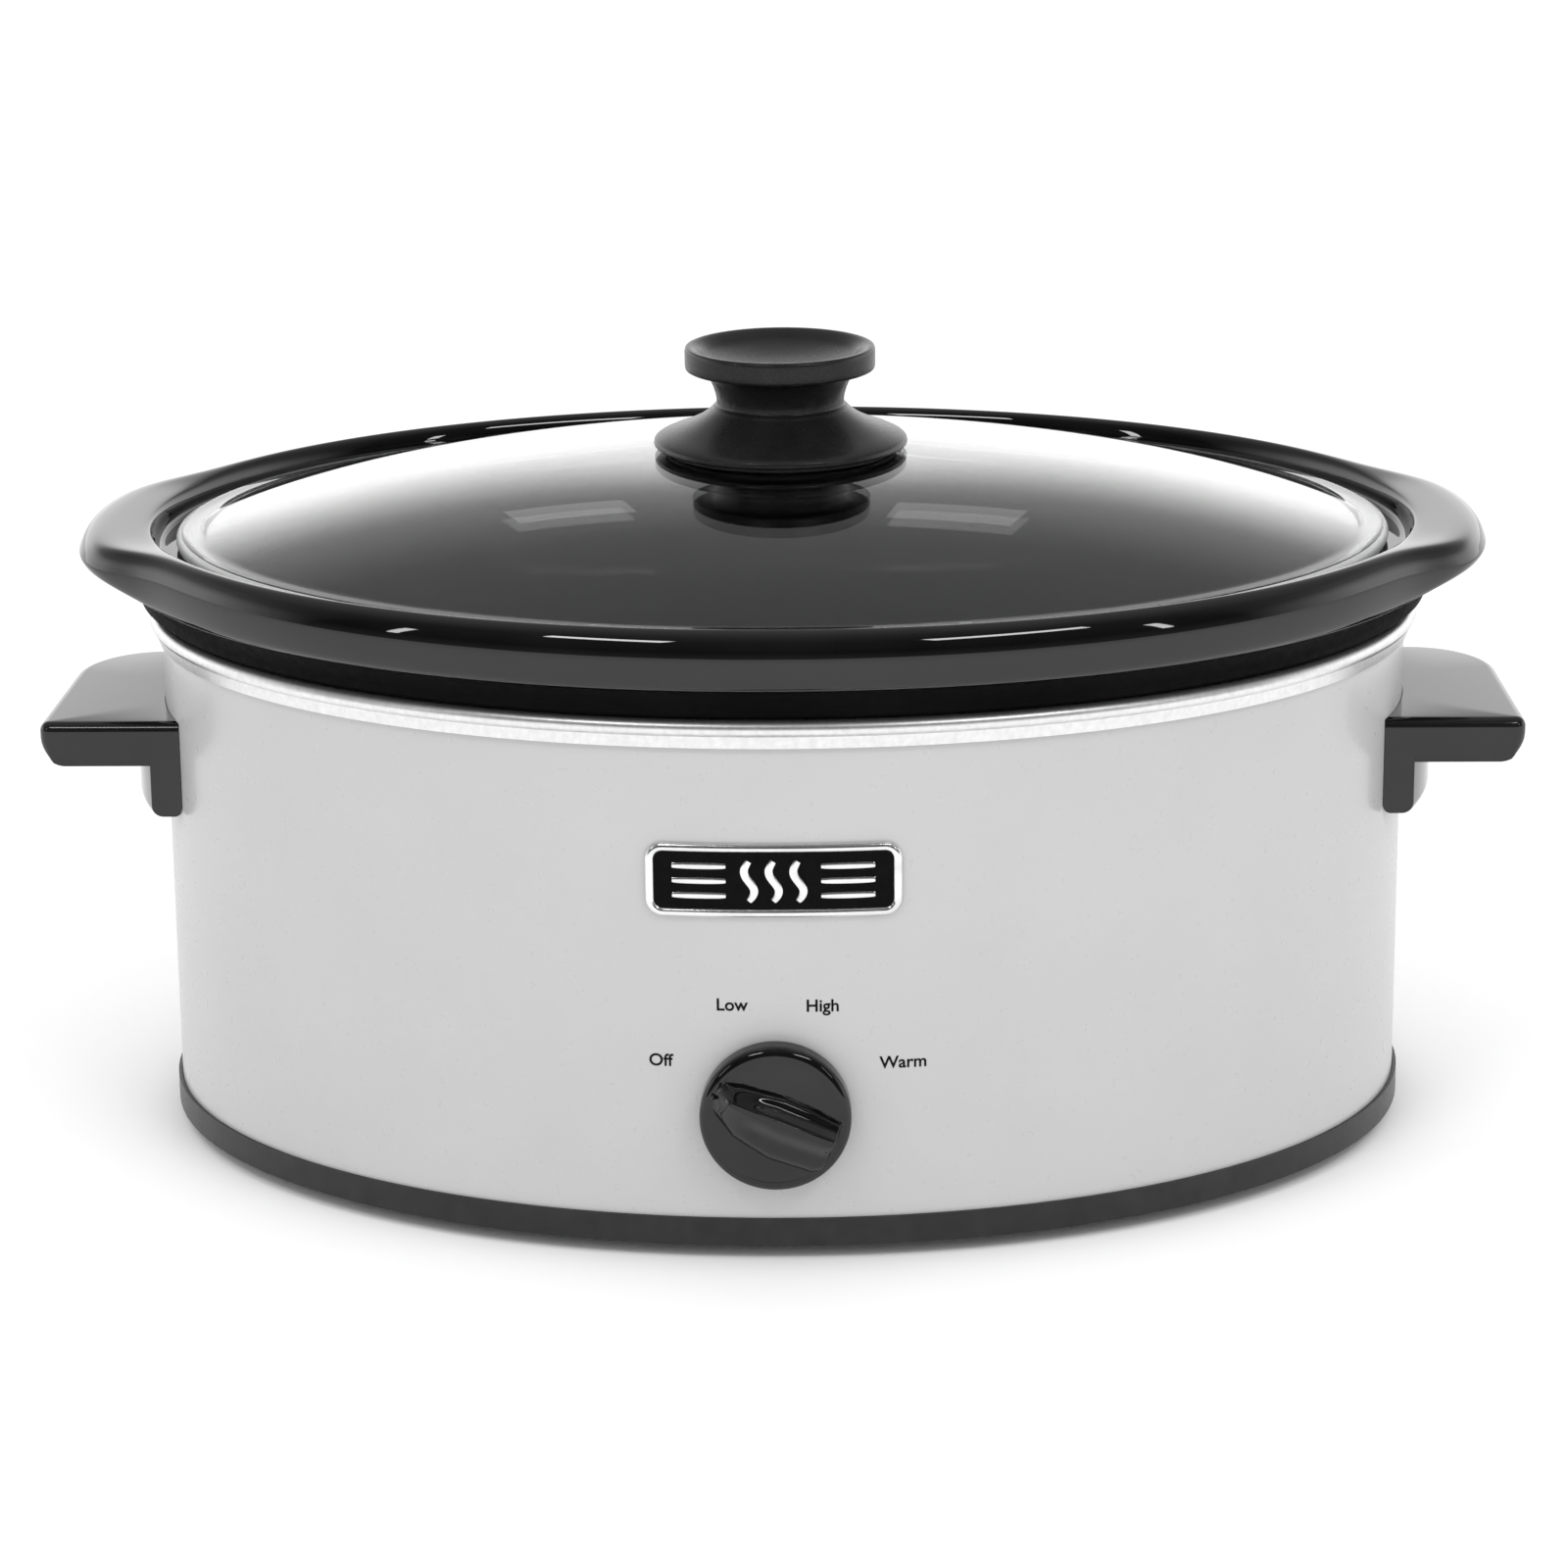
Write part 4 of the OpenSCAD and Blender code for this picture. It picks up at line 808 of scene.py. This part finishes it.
ink = finish(
    "black_ink", (0.001, 0.001, 0.001), (0.003, 0.003, 0.003), (0.4, 0.5), scale=400,
    Specular_IOR_Level=0.1,
)
cap_height = 3.4 * mm
cap_share = 0.72
heavier = 0.07 * mm
ink_out, ink_thick = 0.05 * mm, 0.06 * mm
# Each word has its place across and up from the dial's middle, in millimetres.
for word, x, z in (("Off", -30.2, 13.7), ("Low", -11.3, 29.5), ("High", 12.5, 29.2), ("Warm", 33.6, 12.9)):
    written = bpy.data.curves.new("setting_" + word, "FONT")
    written.body = word
    written.align_x, written.align_y = "CENTER", "CENTER"
    written.size = cap_height / cap_share
    written.resolution_u = 6
    written.offset = heavier
    drawn = bpy.data.objects.new("drawn", written)
    bpy.context.scene.collection.objects.link(drawn)
    bpy.context.view_layer.update()
    letters = bpy.data.meshes.new_from_object(drawn.evaluated_get(bpy.context.evaluated_depsgraph_get()))
    bpy.data.objects.remove(drawn)
    flat = np.empty(len(letters.vertices) * 3)
    letters.vertices.foreach_get("co", flat)
    flat = flat.reshape(-1, 3)
    polygons = [list(polygon.vertices) for polygon in letters.polygons]
    face = on_casing(x * mm + flat[:, 0], dial_z + z * mm + flat[:, 1], ink_out)
    word_piece = put_in_mesh("setting_" + word, face, polygons)
    skin = word_piece.modifiers.new("ink", "SOLIDIFY")
    skin.thickness = ink_thick
    skin.offset = 0
    dress(word_piece, ink, "housing")

# ---- Base ring, feet and bottom plate --------------------------------------------------
# The base ring is moulded in dark grey plastic with a fine satin skin. A pressed steel plate
# closes it from below, and four rubber feet are screwed into its bosses.

# The paler colour along the base ring's edges is a painted highlight on its rims.
base_plastic = finish(
    "base_plastic", (0.006, 0.006, 0.006), (0.01, 0.01, 0.01), (0.3, 0.42), scale=80,
    bump=0.00001, wear_and_sheen=0.3, wear_and_sheen_colour=(0.06, 0.06, 0.06), Specular_IOR_Level=0.35,
)
plate_steel = finish(
    "plate_steel", (0.42, 0.43, 0.43), (0.66, 0.66, 0.65), (0.3, 0.5), scale=90, bump=0.00002,
    wear_and_sheen=0.3, wear_and_sheen_colour=(0.8, 0.8, 0.8), Metallic=1.0,
)
foot_rubber = finish(
    "foot_rubber", (0.018, 0.018, 0.018), (0.032, 0.031, 0.03), (0.7, 0.9), scale=180, bump=0.00004,
    wear_and_sheen=0.5, wear_and_sheen_colour=(0.09, 0.09, 0.09),
)
zinc = finish(
    "zinc_plate", (0.5, 0.51, 0.52), (0.7, 0.7, 0.68), (0.22, 0.36), scale=300, bump=0.000006,
    wear_and_sheen=0.4, wear_and_sheen_colour=(0.85, 0.85, 0.84), Metallic=1.0,
)
for name in ("base_ring", "gland_nut", "rotary_switch"):
    dress(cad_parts[name], base_plastic)
dress(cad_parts["bottom_plate"], plate_steel)
dress(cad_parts["feet"], foot_rubber)
for name in ("foot_screws", "centre_stud", "centre_nut", "handle_screws", "strap_screw", "switch_nut",
             "earth_screw", "fuse_clip", "badge_clips", "lid_screw", "lid_washer"):
    dress(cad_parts[name], zinc)

# ---- Heater and wiring -----------------------------------------------------------------
# A mica-insulated heater band is held round the liner by a spring steel strap, with a wrap of
# glass wool over it. Silicone leads join it to the switch, the fuse and the terminal block.

mica = finish(
    "mica_tape", (0.3, 0.26, 0.19), (0.5, 0.45, 0.36), (0.35, 0.6), scale=120, stretch=(1, 1, 4),
    bump=0.00006, wear_and_sheen=0.3, wear_and_sheen_colour=(0.6, 0.55, 0.45),
)
wool = finish(
    "glass_wool", (0.66, 0.64, 0.56), (0.84, 0.82, 0.75), (0.85, 1.0), scale=260, bump=0.0003,
    Sheen_Weight=0.3,
)
spring = finish(
    "spring_steel", (0.3, 0.32, 0.35), (0.5, 0.5, 0.5), (0.25, 0.4), scale=150, stretch=(1, 1, 6),
    bump=0.00001, wear_and_sheen=0.3, wear_and_sheen_colour=(0.7, 0.7, 0.7), Metallic=1.0,
)
brass = finish(
    "brass", (0.62, 0.45, 0.18), (0.78, 0.6, 0.3), (0.2, 0.35), scale=260, bump=0.000006,
    wear_and_sheen=0.4, wear_and_sheen_colour=(0.9, 0.75, 0.45), Metallic=1.0,
)
block_nylon = finish(
    "block_nylon", (0.7, 0.69, 0.63), (0.8, 0.79, 0.74), (0.35, 0.5), scale=200, bump=0.00001,
    Subsurface_Weight=0.05,
)
rubber_black = finish(
    "gland_and_gasket_rubber", (0.012, 0.012, 0.012), (0.022, 0.022, 0.021), (0.5, 0.7), scale=200,
    bump=0.00002, wear_and_sheen=0.3, wear_and_sheen_colour=(0.06, 0.06, 0.06),
)
for names, material in (
    (("heater_band",), mica), (("insulation_wrap",), wool), (("band_strap", "dial_clip"), spring),
    (("switch_terminals", "terminal_screws", "switch_shaft"), brass),
    (("terminal_block", "thermal_fuse"), block_nylon), (("cord_gland", "lid_gasket"), rubber_black),
):
    for name in names:
        dress(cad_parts[name], material)
for name, dark, pale in (
    ("lead_live", (0.16, 0.07, 0.03), (0.24, 0.11, 0.05)),
    ("lead_neutral", (0.05, 0.1, 0.3), (0.08, 0.15, 0.42)),
    ("lead_earth", (0.08, 0.28, 0.08), (0.3, 0.42, 0.08)),
    ("lead_fuse", (0.05, 0.1, 0.3), (0.08, 0.15, 0.42)),
    ("lead_common", (0.7, 0.69, 0.62), (0.82, 0.8, 0.75)),
    ("lead_low", (0.7, 0.69, 0.62), (0.82, 0.8, 0.75)),
    ("lead_high", (0.45, 0.04, 0.03), (0.6, 0.07, 0.05)),
):
    sleeve = finish(name + "_silicone", dark, pale, (0.4, 0.55), scale=220, bump=0.00001)
    dress(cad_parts[name], sleeve)
